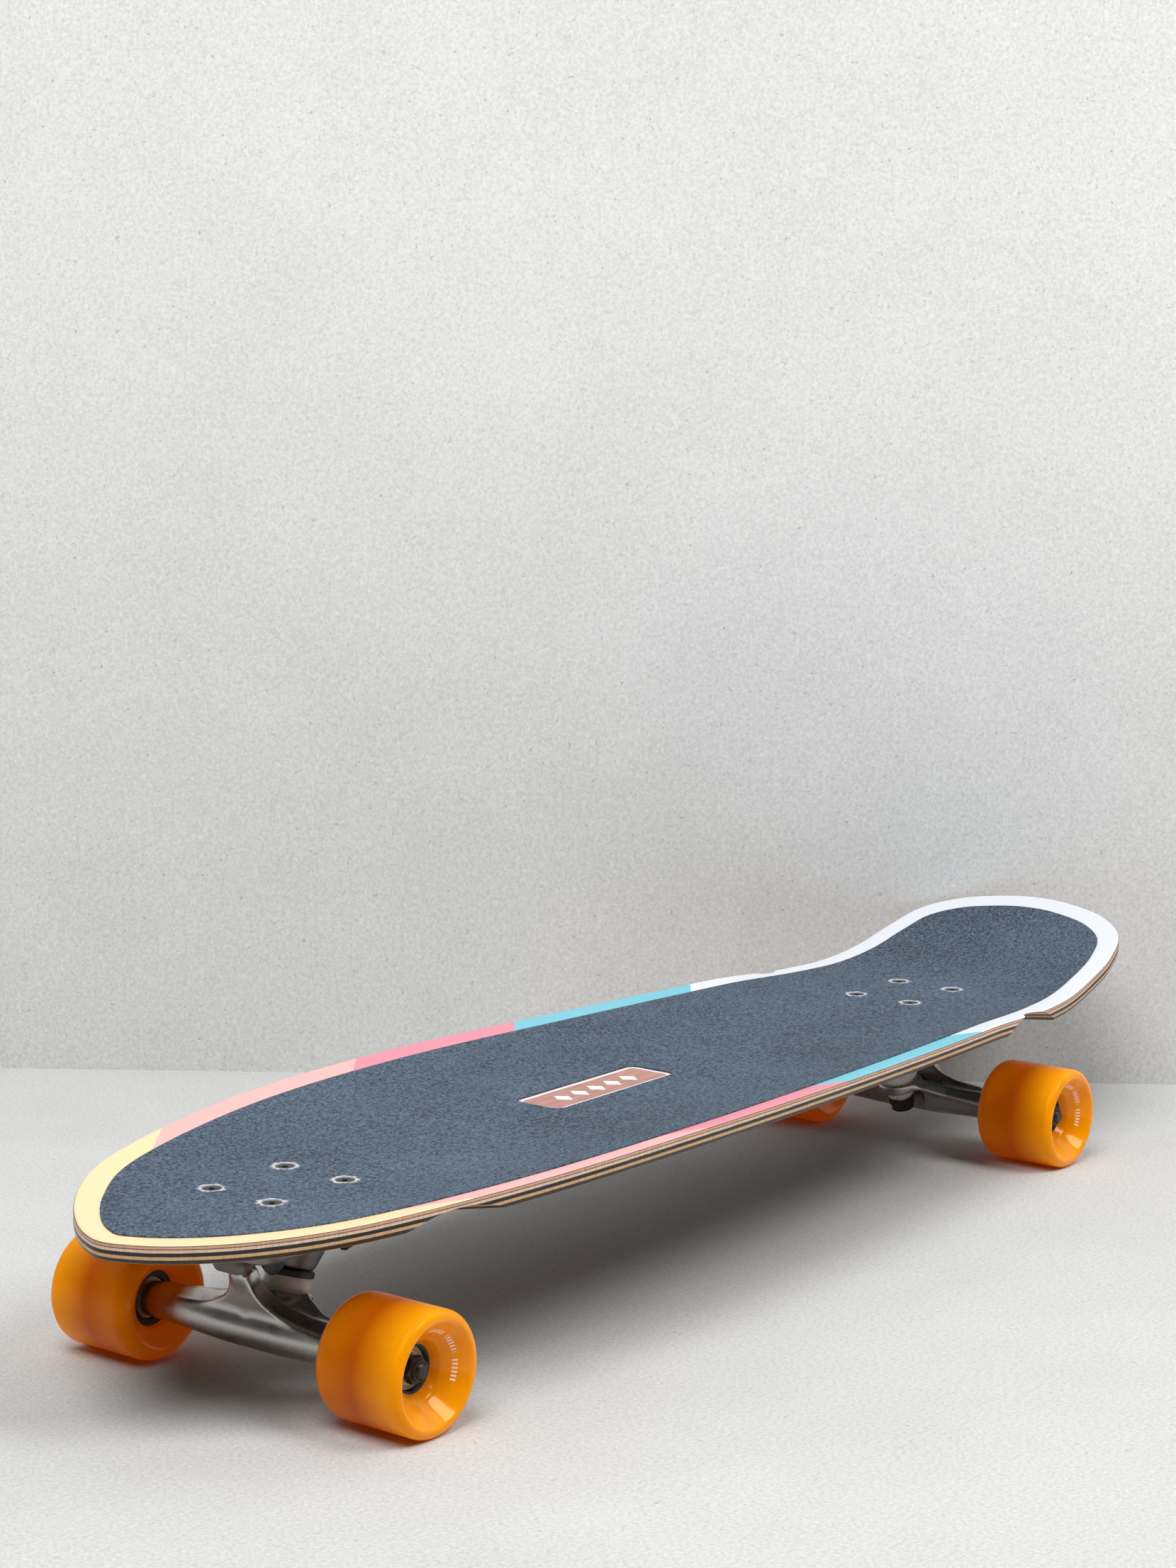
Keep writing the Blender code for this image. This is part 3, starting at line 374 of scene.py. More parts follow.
class DeckSettings(bpy.types.PropertyGroup):
    """Shape of the deck's rim, its paint and its grip tape."""

    thickness: FloatProperty(name="Thickness", description="Depth of the plywood", unit="LENGTH",
                             default=0.010)
    top_round: FloatProperty(name="Top rounding", description="Radius of the upper rim", unit="LENGTH",
                             default=0.0015)
    bottom_round: FloatProperty(name="Bottom rounding", description="Radius of the lower rim",
                                unit="LENGTH", default=0.0028)
    grip_margin: FloatProperty(name="Grip margin", description="Painted strip left round the grip tape",
                               unit="LENGTH", default=0.0145)
    grip_thickness: FloatProperty(name="Grip thickness", description="Height of the grip over the wood",
                                  unit="LENGTH", default=0.0009)
    chevron_slope: FloatProperty(name="Chevron slope", description="Run along the board for its width",
                                 default=1.35)
    nose: colour_setting("Nose", "Paint at the nose", (0.93, 0.72, 0.41))
    blush: colour_setting("Blush", "Second band of paint", (0.88, 0.47, 0.45))
    rose: colour_setting("Rose", "Third band of paint", (0.83, 0.27, 0.355))
    sky: colour_setting("Sky", "Fourth band of paint", (0.175, 0.57, 0.69))
    tail: colour_setting("Tail", "Paint at the tail", (0.80, 0.83, 0.88))
    under_nose: colour_setting("Underside nose", "Paint under the nose", (0.56, 0.30, 0.03))
    under_coral: colour_setting("Underside coral", "Paint under the middle", (0.36, 0.085, 0.07))
    under_sky: colour_setting("Underside sky", "Paint under the rear", (0.03, 0.18, 0.21))
    under_tail: colour_setting("Underside tail", "Paint under the tail", (0.42, 0.43, 0.46))
    charcoal: colour_setting("Charcoal", "Stain over the flat of the underside", (0.02, 0.02, 0.024))
    grit: colour_setting("Grit", "Grip tape", (0.077, 0.105, 0.143))


class TruckSettings(bpy.types.PropertyGroup):
    """Castings, bushings and risers."""

    grain: FloatProperty(name="Casting detail", description="Side of a casting's mesh faces",
                         unit="LENGTH", default=0.00065)
    hanger: colour_setting("Hanger", "Tumbled aluminium", (0.50, 0.485, 0.465))
    baseplate: colour_setting("Baseplate", "Cast aluminium", (0.24, 0.23, 0.22))
    bushing: colour_setting("Bushing", "Urethane of the bushings", (0.93, 0.90, 0.84))


class WheelSettings(bpy.types.PropertyGroup):
    """Soft wheels."""

    steps: IntProperty(name="Steps", description="Faces round a wheel", default=112, min=24)
    # Painted light and shade: the urethane colour is the shaded middle of the wheel, and the lip colour is
    # painted light on its thin edges
    urethane: colour_setting("Urethane", "Body of the wheel", (0.33, 0.078, 0.0004))
    lit_lip: colour_setting("Lip", "Thin, brighter edges of the wheel", (0.82, 0.335, 0.002))
    # Painted glow: emission that stands for light passing through the clear urethane
    painted_glow: FloatProperty(name="Glow", description="Light that the clear urethane passes on", default=0.14)
    marks: colour_setting("Marks", "Printed marks on the outer face", (0.95, 0.93, 0.88))


class FastenerSettings(bpy.types.PropertyGroup):
    """Axles, nuts and bolts."""

    pitch: FloatProperty(name="Thread pitch", description="Rise of a thread in one turn", unit="LENGTH",
                         default=0.00106)
    thread_depth: FloatProperty(name="Thread depth", description="From a thread's crest to its root",
                                unit="LENGTH", default=0.0005)
    steel: colour_setting("Steel", "Axles and bearings", (0.60, 0.59, 0.58))
    black: colour_setting("Blackened steel", "Bolts, nuts and cupped washers", (0.010, 0.010, 0.011))


class StageSettings(bpy.types.PropertyGroup):
    """Floor, wall and light."""

    floor: colour_setting("Floor", "Colour of the floor", (0.645, 0.645, 0.636))
    wall: colour_setting("Wall", "Colour of the wall", (0.95, 0.95, 0.94))
    wall_distance: FloatProperty(name="Wall distance", description="From the board's middle to the wall",
                                 unit="LENGTH", default=0.395)
    key_power: FloatProperty(name="Key power", description="Soft lamp over the side", unit="POWER",
                             default=74.0)
    front_power: FloatProperty(name="Front power", description="Soft lamp over the nose", unit="POWER",
                               default=106.0)
    fill: FloatProperty(name="Fill", description="Strength of the light from all round", default=0.010)


# Meshes


def mesh_from(bm):
    mesh = bpy.data.meshes.new("mesh")
    bm.to_mesh(mesh)
    bm.free()
    return mesh


def closed(mesh):
    """Merge a closed shell's doubles and point its faces outwards."""
    bm = bmesh.new()
    bm.from_mesh(mesh)
    bmesh.ops.remove_doubles(bm, verts=bm.verts, dist=WELD)
    bmesh.ops.dissolve_degenerate(bm, edges=bm.edges, dist=WELD)
    bmesh.ops.recalc_face_normals(bm, faces=bm.faces)
    bm.to_mesh(mesh)
    bm.free()
    return mesh


def placed(mesh, matrix):
    copy = mesh.copy()
    copy.transform(matrix)
    return copy


def linked(name, data):
    obj = bpy.data.objects.new(name, data)
    bpy.context.scene.collection.objects.link(obj)
    return obj


def bake(obj):
    """Turn an object and its modifiers into a plain mesh, and remove the object."""
    bpy.context.view_layer.update()
    graph = bpy.context.evaluated_depsgraph_get()
    mesh = bpy.data.meshes.new_from_object(obj.evaluated_get(graph), depsgraph=graph)
    bpy.data.objects.remove(obj, do_unlink=True)
    return mesh


def boolean(base, others, operation="DIFFERENCE"):
    """Cut a mesh with others, or keep what they share."""
    obj = linked("work", base)
    helpers = [linked("work", mesh) for mesh in others]
    for helper in helpers:
        modifier = obj.modifiers.new("boolean", "BOOLEAN")
        modifier.operation = operation
        modifier.solver = "EXACT"
        modifier.object = helper
    mesh = bake(obj)
    for helper in helpers:
        bpy.data.objects.remove(helper, do_unlink=True)
    return mesh


def joined(parts):
    """One mesh of several (mesh, material) shells."""
    bm = bmesh.new()
    materials = []
    for mesh, material in parts:
        if material not in materials:
            materials.append(material)
        first = len(bm.faces)
        bm.from_mesh(mesh)
        bm.faces.ensure_lookup_table()
        for face in bm.faces[first:]:
            face.material_index = materials.index(material)
    whole = mesh_from(bm)
    for material in materials:
        whole.materials.append(material)
    return whole


def shaded(mesh, sharp_angle):
    """Smooth a mesh between its sharp edges, with flat faces kept flat."""
    mesh.shade_smooth()
    mesh.set_sharp_from_angle(angle=math.radians(sharp_angle))
    obj = linked("work", mesh)
    weighted = obj.modifiers.new("weighted", "WEIGHTED_NORMAL")
    weighted.keep_sharp = True
    return bake(obj)


def add_piece(name, mesh, place, body, nodes, material=None, sharp_angle=SHARP_ANGLE):
    """A finished piece that rides on a body and stands for CAD nodes."""
    mesh = shaded(placed(mesh, place), sharp_angle)
    if material:
        mesh.materials.clear()
        mesh.materials.append(material)
    mesh.name = name
    obj = linked(name, mesh)
    if body:
        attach(obj, body)
    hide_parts(*nodes)
    return obj


def filleted(corners, steps=4):
    """Profile points with rounded corners. A corner is (radius, height) or (radius, height, fillet)."""
    points = []
    for i, corner in enumerate(corners):
        here = Vector(corner[:2])
        if len(corner) == 2:
            points.append(tuple(here))
            continue
        before = (Vector(corners[i - 1][:2]) - here).normalized()
        after = (Vector(corners[(i + 1) % len(corners)][:2]) - here).normalized()
        half = before.angle(after) / 2
        centre = here + (before + after).normalized() * corner[2] / math.sin(half)
        reach = corner[2] / math.tan(half)
        start = (here + before * reach - centre).normalized()
        end = (here + after * reach - centre).normalized()
        points += [tuple(centre + start.slerp(end, k / steps) * corner[2]) for k in range(steps + 1)]
    return points


def arc(centre_radius, centre_height, radius, first, last, steps):
    """Profile points on an arc. Its angles are in degrees, 0 outwards and 90 upwards."""
    points = []
    for i in range(steps + 1):
        angle = math.radians(first + (last - first) * i / steps)
        points.append((centre_radius + radius * math.cos(angle), centre_height + radius * math.sin(angle)))
    return points


def between(before, start, end, after, share):
    """A point between start and end on a smooth curve through all four."""
    t1 = math.sqrt((start - before).length)
    t2 = t1 + math.sqrt((end - start).length)
    t3 = t2 + math.sqrt((after - end).length)
    t = t1 + (t2 - t1) * share
    a = before.lerp(start, t / t1)
    b = start.lerp(end, share)
    c = end.lerp(after, (t - t2) / (t3 - t2))
    return a.lerp(b, t / t2).lerp(b.lerp(c, (t - t1) / (t3 - t1)), share)


def smooth_line(points, steps):
    """Points on a smooth curve through all but the first and last, which only steer it."""
    points = [Vector(point) for point in points]
    line = []
    for four in zip(points, points[1:], points[2:], points[3:]):
        line += [between(*four, i / steps) for i in range(steps)]
    return line + [points[-2]]


def rounded_rectangle(length, width, radius, steps=8):
    points = []
    for corner, (side_x, side_y) in enumerate([(1, 1), (-1, 1), (-1, -1), (1, -1)]):
        centre_x = side_x * (length / 2 - radius)
        centre_y = side_y * (width / 2 - radius)
        for i in range(steps + 1):
            angle = math.pi / 2 * (corner + i / steps)
            points.append((centre_x + radius * math.cos(angle), centre_y + radius * math.sin(angle)))
    return points


def block(sections):
    """A closed solid through outlines of one length, as (points, height), from the top down."""
    bm = bmesh.new()
    rings = [[bm.verts.new((x, y, height)) for x, y in points] for points, height in sections]
    for upper, lower in zip(rings, rings[1:]):
        for i, vert in enumerate(upper):
            after = (i + 1) % len(upper)
            bm.faces.new((upper[after], vert, lower[i], lower[after]))
    bm.faces.new(rings[0])
    bm.faces.new(reversed(rings[-1]))
    bmesh.ops.recalc_face_normals(bm, faces=bm.faces)
    return mesh_from(bm)


# Geometry Nodes


class Nodes:
    """Adds nodes to a tree and links them."""

    def __init__(self, tree):
        self.tree = tree

    def add(self, kind, inputs=None, **settings):
        node = self.tree.nodes.new(kind)
        for name, value in settings.items():
            setattr(node, name, value)
        for key, value in (inputs or {}).items():
            if isinstance(value, bpy.types.NodeSocket):
                self.tree.links.new(value, node.inputs[key])
            else:
                node.inputs[key].default_value = value
        return node

    def math(self, operation, *values):
        return self.add("ShaderNodeMath", dict(enumerate(values)), operation=operation).outputs[0]

    def chain(self, operation, value, *others):
        """Take values together from left to right."""
        for other in others:
            value = self.math(operation, value, other)
        return value

    def apart(self, first, second):
        """Distance between two numbers."""
        return self.math("ABSOLUTE", self.math("SUBTRACT", first, second))

    def flat(self, x, y):
        return self.add("ShaderNodeCombineXYZ", {0: x, 1: y}).outputs[0]

    def length(self, x, y):
        return self.add("ShaderNodeVectorMath", {0: self.flat(x, y)}, operation="LENGTH").outputs["Value"]

    def parts(self, vector):
        return self.add("ShaderNodeSeparateXYZ", {0: vector}).outputs

    def span(self, value, low, high, to_low=0.0, to_high=1.0):
        """Bring a value from one range into another, and hold it at the ends."""
        return self.add("ShaderNodeMapRange", {0: value, 1: low, 2: high, 3: to_low, 4: to_high}).outputs[0]

    def uneven(self, noise, to_low, to_high):
        """Bring the usual reach of a noise into another range."""
        return self.span(noise, *NOISE_REACH, to_low, to_high)

    def band(self, value, low, high, soft):
        """1 between two values and 0 outside them."""
        rise = self.span(value, low - soft, low + soft)
        fall = self.span(value, high - soft, high + soft, 1.0, 0.0)
        return self.math("MULTIPLY", rise, fall)

    def mix(self, share, first, second, blend="MIX"):
        return self.add("ShaderNodeMix", {0: share, 6: first, 7: second}, data_type="RGBA",
                        blend_type=blend).outputs[2]

    def dimmed(self, colour, level):
        """A colour, times a level."""
        grey = self.add("ShaderNodeCombineColor", {0: level, 1: level, 2: level}).outputs[0]
        return self.mix(1.0, colour, grey, blend="MULTIPLY")

    def noise(self, place, scale, detail=2.0, roughness=0.5):
        inputs = {"Vector": place, "Scale": scale, "Detail": detail, "Roughness": roughness}
        return self.add("ShaderNodeTexNoise", inputs).outputs[0]

    def stretched(self, place, scales):
        return self.add("ShaderNodeMapping", {"Vector": place, "Scale": scales}).outputs[0]

    def ramp(self, value, starts, colours):
        """Plain bands of colour, each from its start on."""
        node = self.add("ShaderNodeValToRGB", {0: value})
        node.color_ramp.interpolation = "CONSTANT"
        elements = node.color_ramp.elements
        while len(elements) < len(starts):
            elements.new(1.0)
        for element, start, colour in zip(elements, starts, colours):
            element.position = start
            element.color = colour
        return node.outputs[0]

    def bump(self, height, distance):
        return self.add("ShaderNodeBump", {"Height": height, "Distance": distance}).outputs[0]


def geometry_tree(name, inputs):
    """A Geometry Nodes tree with named inputs. Gives its nodes and its inputs' sockets."""
    tree = bpy.data.node_groups.new(name, "GeometryNodeTree")
    tree.interface.new_socket("Geometry", in_out="INPUT", socket_type="NodeSocketGeometry")
    for label, (kind, default) in inputs.items():
        socket = tree.interface.new_socket(label, in_out="INPUT", socket_type=kind)
        if default is not None:
            socket.default_value = default
    tree.interface.new_socket("Geometry", in_out="OUTPUT", socket_type="NodeSocketGeometry")
    nodes = Nodes(tree)
    return nodes, nodes.add("NodeGroupInput").outputs


def end_tree(nodes, geometry, material):
    """End a tree in real geometry with its material."""
    real = nodes.add("GeometryNodeRealizeInstances", {0: geometry}).outputs[0]
    painted = nodes.add("GeometryNodeSetMaterial", {"Geometry": real, "Material": material}).outputs[0]
    nodes.add("NodeGroupOutput", {0: painted})
    return nodes.tree


def run_tree(tree, mesh, values):
    """Run a tree on a mesh and give the plain mesh that it makes."""
    obj = linked("work", mesh)
    modifier = obj.modifiers.new("nodes", "NODES")
    modifier.node_group = tree
    for item in tree.interface.items_tree:
        if item.in_out == "INPUT" and item.name in values:
            modifier[item.identifier] = values[item.name]
    return bake(obj)


def lathe_tree():
    """Sweeps a profile of (radius, 0, height) round Z. Keeps where each point was in "turned"."""
    nodes, given = geometry_tree("turned_piece", {
        "Steps": ("NodeSocketInt", 64),
        "Rail": ("NodeSocketFloat", 0.1),
        "Material": ("NodeSocketMaterial", None),
    })
    back = nodes.math("MULTIPLY", given["Rail"], -1.0)
    offset = nodes.add("ShaderNodeCombineXYZ", {0: back}).outputs[0]
    line = nodes.add("GeometryNodeMeshToCurve", {0: given["Geometry"]}).outputs[0]
    place = nodes.add("GeometryNodeInputPosition").outputs[0]
    radius, _, height = nodes.parts(place)
    downward = nodes.math("MULTIPLY", height, -1.0)
    upright = nodes.flat(radius, downward)
    moved = nodes.add("GeometryNodeSetPosition", {"Geometry": line, "Position": upright, "Offset": offset})
    circle = nodes.add("GeometryNodeCurvePrimitiveCircle", {"Resolution": given["Steps"],
                                                            "Radius": given["Rail"]}).outputs[0]
    swept = nodes.add("GeometryNodeCurveToMesh", {0: circle, 1: moved.outputs[0]}).outputs[0]
    merged = nodes.add("GeometryNodeMergeByDistance", {"Geometry": swept, "Distance": WELD}).outputs[0]
    kept = nodes.add("GeometryNodeStoreNamedAttribute", {"Geometry": merged, "Name": "turned"},
                     data_type="FLOAT_VECTOR", domain="POINT")
    nodes.tree.links.new(place, kept.inputs["Value"])
    return end_tree(nodes, kept.outputs[0], given["Material"])


def pattern_tree():
    """Sets copies of a piece at the corners of a rectangle."""
    nodes, given = geometry_tree("bolt_pattern", {
        "Spacing X": ("NodeSocketFloat", BOLT_SPACING_X),
        "Spacing Y": ("NodeSocketFloat", BOLT_SPACING_Y),
        "Material": ("NodeSocketMaterial", None),
    })
    grid = nodes.add("GeometryNodeMeshGrid", {"Size X": given["Spacing X"], "Size Y": given["Spacing Y"],
                                              "Vertices X": 2, "Vertices Y": 2}).outputs[0]
    copies = nodes.add("GeometryNodeInstanceOnPoints", {"Points": grid, "Instance": given["Geometry"]})
    return end_tree(nodes, copies.outputs[0], given["Material"])


def thread_tree():
    """Presses a screw thread into a fine rod about Z, between two heights."""
    nodes, given = geometry_tree("screw_thread", {
        "Pitch": ("NodeSocketFloat", 0.001),
        "Depth": ("NodeSocketFloat", 0.0005),
        "Low": ("NodeSocketFloat", 0.0),
        "High": ("NodeSocketFloat", 0.01),
        "Least radius": ("NodeSocketFloat", 0.001),
        "Material": ("NodeSocketMaterial", None),
    })
    place = nodes.add("GeometryNodeInputPosition").outputs[0]
    x, y, z = nodes.parts(place)
    turn = nodes.math("DIVIDE", nodes.math("ARCTAN2", y, x), 2 * math.pi)
    climb = nodes.math("SUBTRACT", nodes.math("DIVIDE", z, given["Pitch"]), turn)
    groove = nodes.math("PINGPONG", climb, 0.5)
    above = nodes.math("GREATER_THAN", z, given["Low"])
    below = nodes.math("LESS_THAN", z, given["High"])
    outside = nodes.math("GREATER_THAN", nodes.length(x, y), given["Least radius"])
    within = nodes.chain("MULTIPLY", above, below, outside)
    depth = nodes.chain("MULTIPLY", groove, given["Depth"], -2.0)
    outward = nodes.add("ShaderNodeVectorMath", {0: nodes.flat(x, y)}, operation="NORMALIZE").outputs[0]
    inward = nodes.add("ShaderNodeVectorMath", {0: outward, "Scale": nodes.math("MULTIPLY", depth, within)},
                       operation="SCALE").outputs[0]
    cut = nodes.add("GeometryNodeSetPosition", {"Geometry": given["Geometry"], "Offset": inward})
    return end_tree(nodes, cut.outputs[0], given["Material"])


def turned(profile, steps, ring=False):
    """Turn a profile of (radius, height) about Z. A ring's profile closes on itself."""
    count = len(profile)
    edges = [(i, i + 1) for i in range(count - 1)]
    if ring:
        edges.append((count - 1, 0))
    line = bpy.data.meshes.new("profile")
    line.from_pydata([(radius, 0.0, height) for radius, height in profile], edges, [])
    return closed(run_tree(TREES["lathe"], line, {"Steps": steps}))


def cylinder(radius, high, low, steps):
    return turned([(0.0, high), (radius, high), (radius, low), (0.0, low)], steps)


def tube(outer, bore, steps):
    """A turned ring with a straight bore. Its outer profile runs from the top down."""
    return turned(outer + [(bore, outer[-1][1]), (bore, outer[0][1])], steps, ring=True)


def rod_rows(radius, low, high):
    """Closely spaced profile points down the side of a rod, for a thread to be pressed into."""
    step = bpy.context.scene.longboard_fasteners.pitch / 8
    count = max(2, round((high - low) / step))
    return [(radius, high - (high - low) * i / count) for i in range(count + 1)]


def pressed(mesh, low, high, radius, material):
    """Press a thread into a turned rod between two heights."""
    look = bpy.context.scene.longboard_fasteners
    values = {"Pitch": look.pitch, "Depth": look.thread_depth, "Low": low, "High": high,
              "Least radius": radius * 0.9, "Material": material}
    return run_tree(TREES["thread"], mesh, values)


# Distance fields, for the castings


def seen_from(points, matrix):
    """Grid points in a frame of their own."""
    inverse = matrix.inverted()
    return [sum(inverse[row][axis] * points[axis] for axis in range(3)) + inverse[row][3]
            for row in range(3)]


def outline_distance(u, v, corners):
    """Distance to a closed outline, negative inside it."""
    nearest = np.full(u.shape, 1.0, np.float32)
    inside = np.zeros(u.shape, bool)
    for (start_u, start_v), (end_u, end_v) in zip(corners, corners[1:] + corners[:1]):
        run_u, run_v = end_u - start_u, end_v - start_v
        from_u, from_v = u - start_u, v - start_v
        share = np.clip((from_u * run_u + from_v * run_v) / (run_u ** 2 + run_v ** 2), 0, 1)
        nearest = np.minimum(nearest, (from_u - share * run_u) ** 2 + (from_v - share * run_v) ** 2)
        if run_v:
            inside ^= ((start_v > v) != (end_v > v)) & (from_u < from_v * run_u / run_v)
    return np.where(inside, -1, 1) * np.sqrt(nearest)


def turned_field(points, matrix, profile, stretch=1.0):
    """A solid turned about a frame's Z axis, from a profile of (radius, height)."""
    x, y, z = seen_from(points, matrix)
    mirror = [(-radius, height) for radius, height in reversed(profile) if radius > 0]
    return outline_distance(np.hypot(x, y / stretch), z, list(profile) + mirror)


def plate_field(points, matrix, outline, thickness, edge):
    """A flat plate about a frame's XY plane, with rounded edges."""
    x, y, z = seen_from(points, matrix)
    across = outline_distance(x, y, outline) + edge
    through = np.abs(z) - thickness / 2 + edge
    outside = np.hypot(np.maximum(across, 0), np.maximum(through, 0))
    return outside + np.minimum(np.maximum(across, through), 0) - edge


def rod_field(points, matrix, radius, low, high):
    return turned_field(points, matrix, [(0.0, low), (radius, low), (radius, high), (0.0, high)])


def merge(first, second, fillet):
    """Join two fields with a fillet between them."""
    near = np.maximum(fillet - np.abs(first - second), 0) / fillet
    return np.minimum(first, second) - near * near * fillet / 4


def carve(solid, hollow, fillet):
    """Cut one field from another, with rounded edges."""
    return -merge(-solid, hollow, fillet)


def casting(make_field, low, high):
    """Mesh of a field that is alike on both sides of the truck, in a box. Its edges are tumbled soft."""
    step = bpy.context.scene.longboard_trucks.grain
    counts = [math.ceil((high[axis] - low[axis]) / step) for axis in range(3)]
    half = counts[1] // 2
    x, y, z = np.meshgrid(
        low[0] + step * np.arange(counts[0]),
        step * np.arange(half + 1),
        low[2] + step * np.arange(counts[2]),
        indexing="ij",
    )
    field = make_field([axis.astype(np.float32) for axis in (x, y, z)])
    whole = np.concatenate([field[:, :0:-1, :], field], axis=1)
    for _ in range(SOFTENINGS):
        for axis in range(3):
            whole = (np.roll(whole, 1, axis) + 2 * whole + np.roll(whole, -1, axis)) / 4
    grid = openvdb.FloatGrid(1.0)
    grid.copyFromArray(np.ascontiguousarray(whole, np.float32))
    points, quads = grid.convertToQuads(isovalue=0.0)
    mesh = bpy.data.meshes.new("casting")
    places = points * step + np.array([low[0], -half * step, low[2]])
    mesh.from_pydata(places.tolist(), [], quads.tolist())
    bm = bmesh.new()
    bm.from_mesh(mesh)
    bmesh.ops.recalc_face_normals(bm, faces=bm.faces)
    return mesh_from(bm)


# Materials


def tone(red, green, blue):
    """A screen colour of 0 to 255, as the shader's own."""
    shares = [value / 255 for value in (red, green, blue)]
    linear = [share / 12.92 if share <= 0.04045 else ((share + 0.055) / 1.055) ** 2.4 for share in shares]
    return (*linear, 1.0)


def new_material(name, constants):
    """A material whose plain values stand on its shader's own sockets. Gives its nodes too."""
    material = bpy.data.materials.new(name)
    material.use_nodes = True
    shader = material.node_tree.nodes["Principled BSDF"]
    for socket, value in constants.items():
        shader.inputs[socket].default_value = value
    return material, Nodes(material.node_tree), shader


def feed(nodes, shader, **sources):
    sockets = {"colour": "Base Color", "roughness": "Roughness", "normal": "Normal", "coat": "Coat Weight"}
    for name, source in sources.items():
        nodes.tree.links.new(source, shader.inputs[sockets[name]])


def object_place(nodes):
    return nodes.add("ShaderNodeTexCoord").outputs["Object"]


def window_depth(nodes, x, y):
    """How far a place lies outside the window's rounded rectangle. Inside it is negative."""
    along = nodes.math("SUBTRACT", nodes.apart(x, WINDOW_X), WINDOW_LENGTH / 2 - WINDOW_CORNER)
    across = nodes.math("SUBTRACT", nodes.math("ABSOLUTE", y), WINDOW_WIDTH / 2 - WINDOW_CORNER)
    beyond = nodes.length(nodes.math("MAXIMUM", along, 0.0), nodes.math("MAXIMUM", across, 0.0))
    within = nodes.math("MINIMUM", nodes.math("MAXIMUM", along, across), 0.0)
    return nodes.math("SUBTRACT", nodes.math("ADD", beyond, within), WINDOW_CORNER)


def window_artwork(nodes, place, x, y, inside):
    """Bare wood with a line round it and a row of plain diamonds."""
    streaks = nodes.noise(nodes.stretched(place, (60, 900, 2200)), 1.0, detail=3.0)
    wood = nodes.mix(nodes.span(streaks, 0.35, 0.65), tone(162, 108, 94), tone(198, 146, 132))
    line = nodes.band(inside, *WINDOW_LINE, 0.0001)
    along = nodes.math("SUBTRACT", x, WINDOW_X)
    repeated = nodes.math("PINGPONG", nodes.math("ADD", along, DIAMOND_PITCH / 2), DIAMOND_PITCH)
    off_point = nodes.math("ADD", nodes.apart(repeated, DIAMOND_PITCH / 2),
                           nodes.math("MULTIPLY", nodes.math("ABSOLUTE", y), DIAMOND_NARROWING))
    in_row = nodes.math("LESS_THAN", nodes.math("ABSOLUTE", along), DIAMOND_ROW * DIAMOND_PITCH)
    in_diamond = nodes.math("LESS_THAN", off_point, DIAMOND_HALF * DIAMOND_PITCH)
    marks = nodes.math("MAXIMUM", line, nodes.math("MULTIPLY", in_diamond, in_row))
    return nodes.mix(marks, wood, tone(240, 238, 240))


def ply_colours(nodes, place, depth):
    """Stripes of the plies down the rim, with the ends of their grain."""
    waver = nodes.math("MULTIPLY", nodes.math("SUBTRACT", nodes.noise(place, 160), 0.5), 0.03)
    plies = nodes.ramp(nodes.math("ADD", depth, waver), PLY_STARTS, [tone(*ply) for ply in PLIES])
    ticks = nodes.noise(nodes.stretched(place, (1500, 1500, 60)), 1.0, detail=2.0)
    return nodes.dimmed(plies, nodes.uneven(ticks, 0.80, 1.12))


def deck_material():
    look = bpy.context.scene.longboard_deck
    material, nodes, shader = new_material("deck_paint_and_ply", {"Coat Weight": 0.08,
                                                                  "Coat Roughness": 0.22})
    place = object_place(nodes)
    x, y = nodes.parts(place)[:2]
    depth = nodes.add("ShaderNodeAttribute", attribute_name="ply_depth").outputs["Fac"]
    ragged = nodes.math("MULTIPLY", nodes.math("SUBTRACT", nodes.noise(place, 900), 0.5), 0.0008)
    beside = nodes.math("MAXIMUM", nodes.math("ABSOLUTE", y), 0.03)
    slant = nodes.math("MULTIPLY", beside, look.chevron_slope)
    chevron = nodes.math("ADD", nodes.math("ADD", x, slant), nodes.math("ADD", ragged, 0.5))
    paint = nodes.ramp(chevron, PAINT_STARTS, (look.tail, look.sky, look.rose, look.blush, look.nose))
    under = nodes.ramp(chevron, UNDERSIDE_STARTS,
                       (look.under_tail, look.under_sky, look.under_coral, look.under_nose))

    inside = window_depth(nodes, x, y)
    window = window_artwork(nodes, place, x, y, inside)
    top = nodes.mix(nodes.math("LESS_THAN", inside, 0.002), paint, window)
    colour = nodes.mix(nodes.math("LESS_THAN", depth, RIM_TOP), ply_colours(nodes, place, depth), top)
    flat_under = nodes.math("GREATER_THAN", depth, FLAT_UNDERSIDE)
    under = nodes.mix(nodes.math("MULTIPLY", flat_under, STAIN_STRENGTH), under, look.charcoal)
    colour = nodes.mix(nodes.math("GREATER_THAN", depth, RIM_BOTTOM), colour, under)
    streaks = nodes.noise(nodes.stretched(place, (40, 500, 500)), 1.0, detail=3)
    feed(nodes, shader, colour=colour, roughness=nodes.uneven(nodes.noise(place, 22, detail=4), 0.36, 0.50),
         normal=nodes.bump(streaks, 0.00004))
    return material


def bolt_distance(nodes, x, y):
    """Distance from a place on the deck to the middle of the nearest bolt."""
    along = nodes.chain("MINIMUM", *[nodes.apart(x, truck_frame(end).translation.x) for end in ENDS])
    return nodes.length(nodes.math("SUBTRACT", along, BOLT_SPACING_X / 2),
                        nodes.math("SUBTRACT", nodes.math("ABSOLUTE", y), BOLT_SPACING_Y / 2))


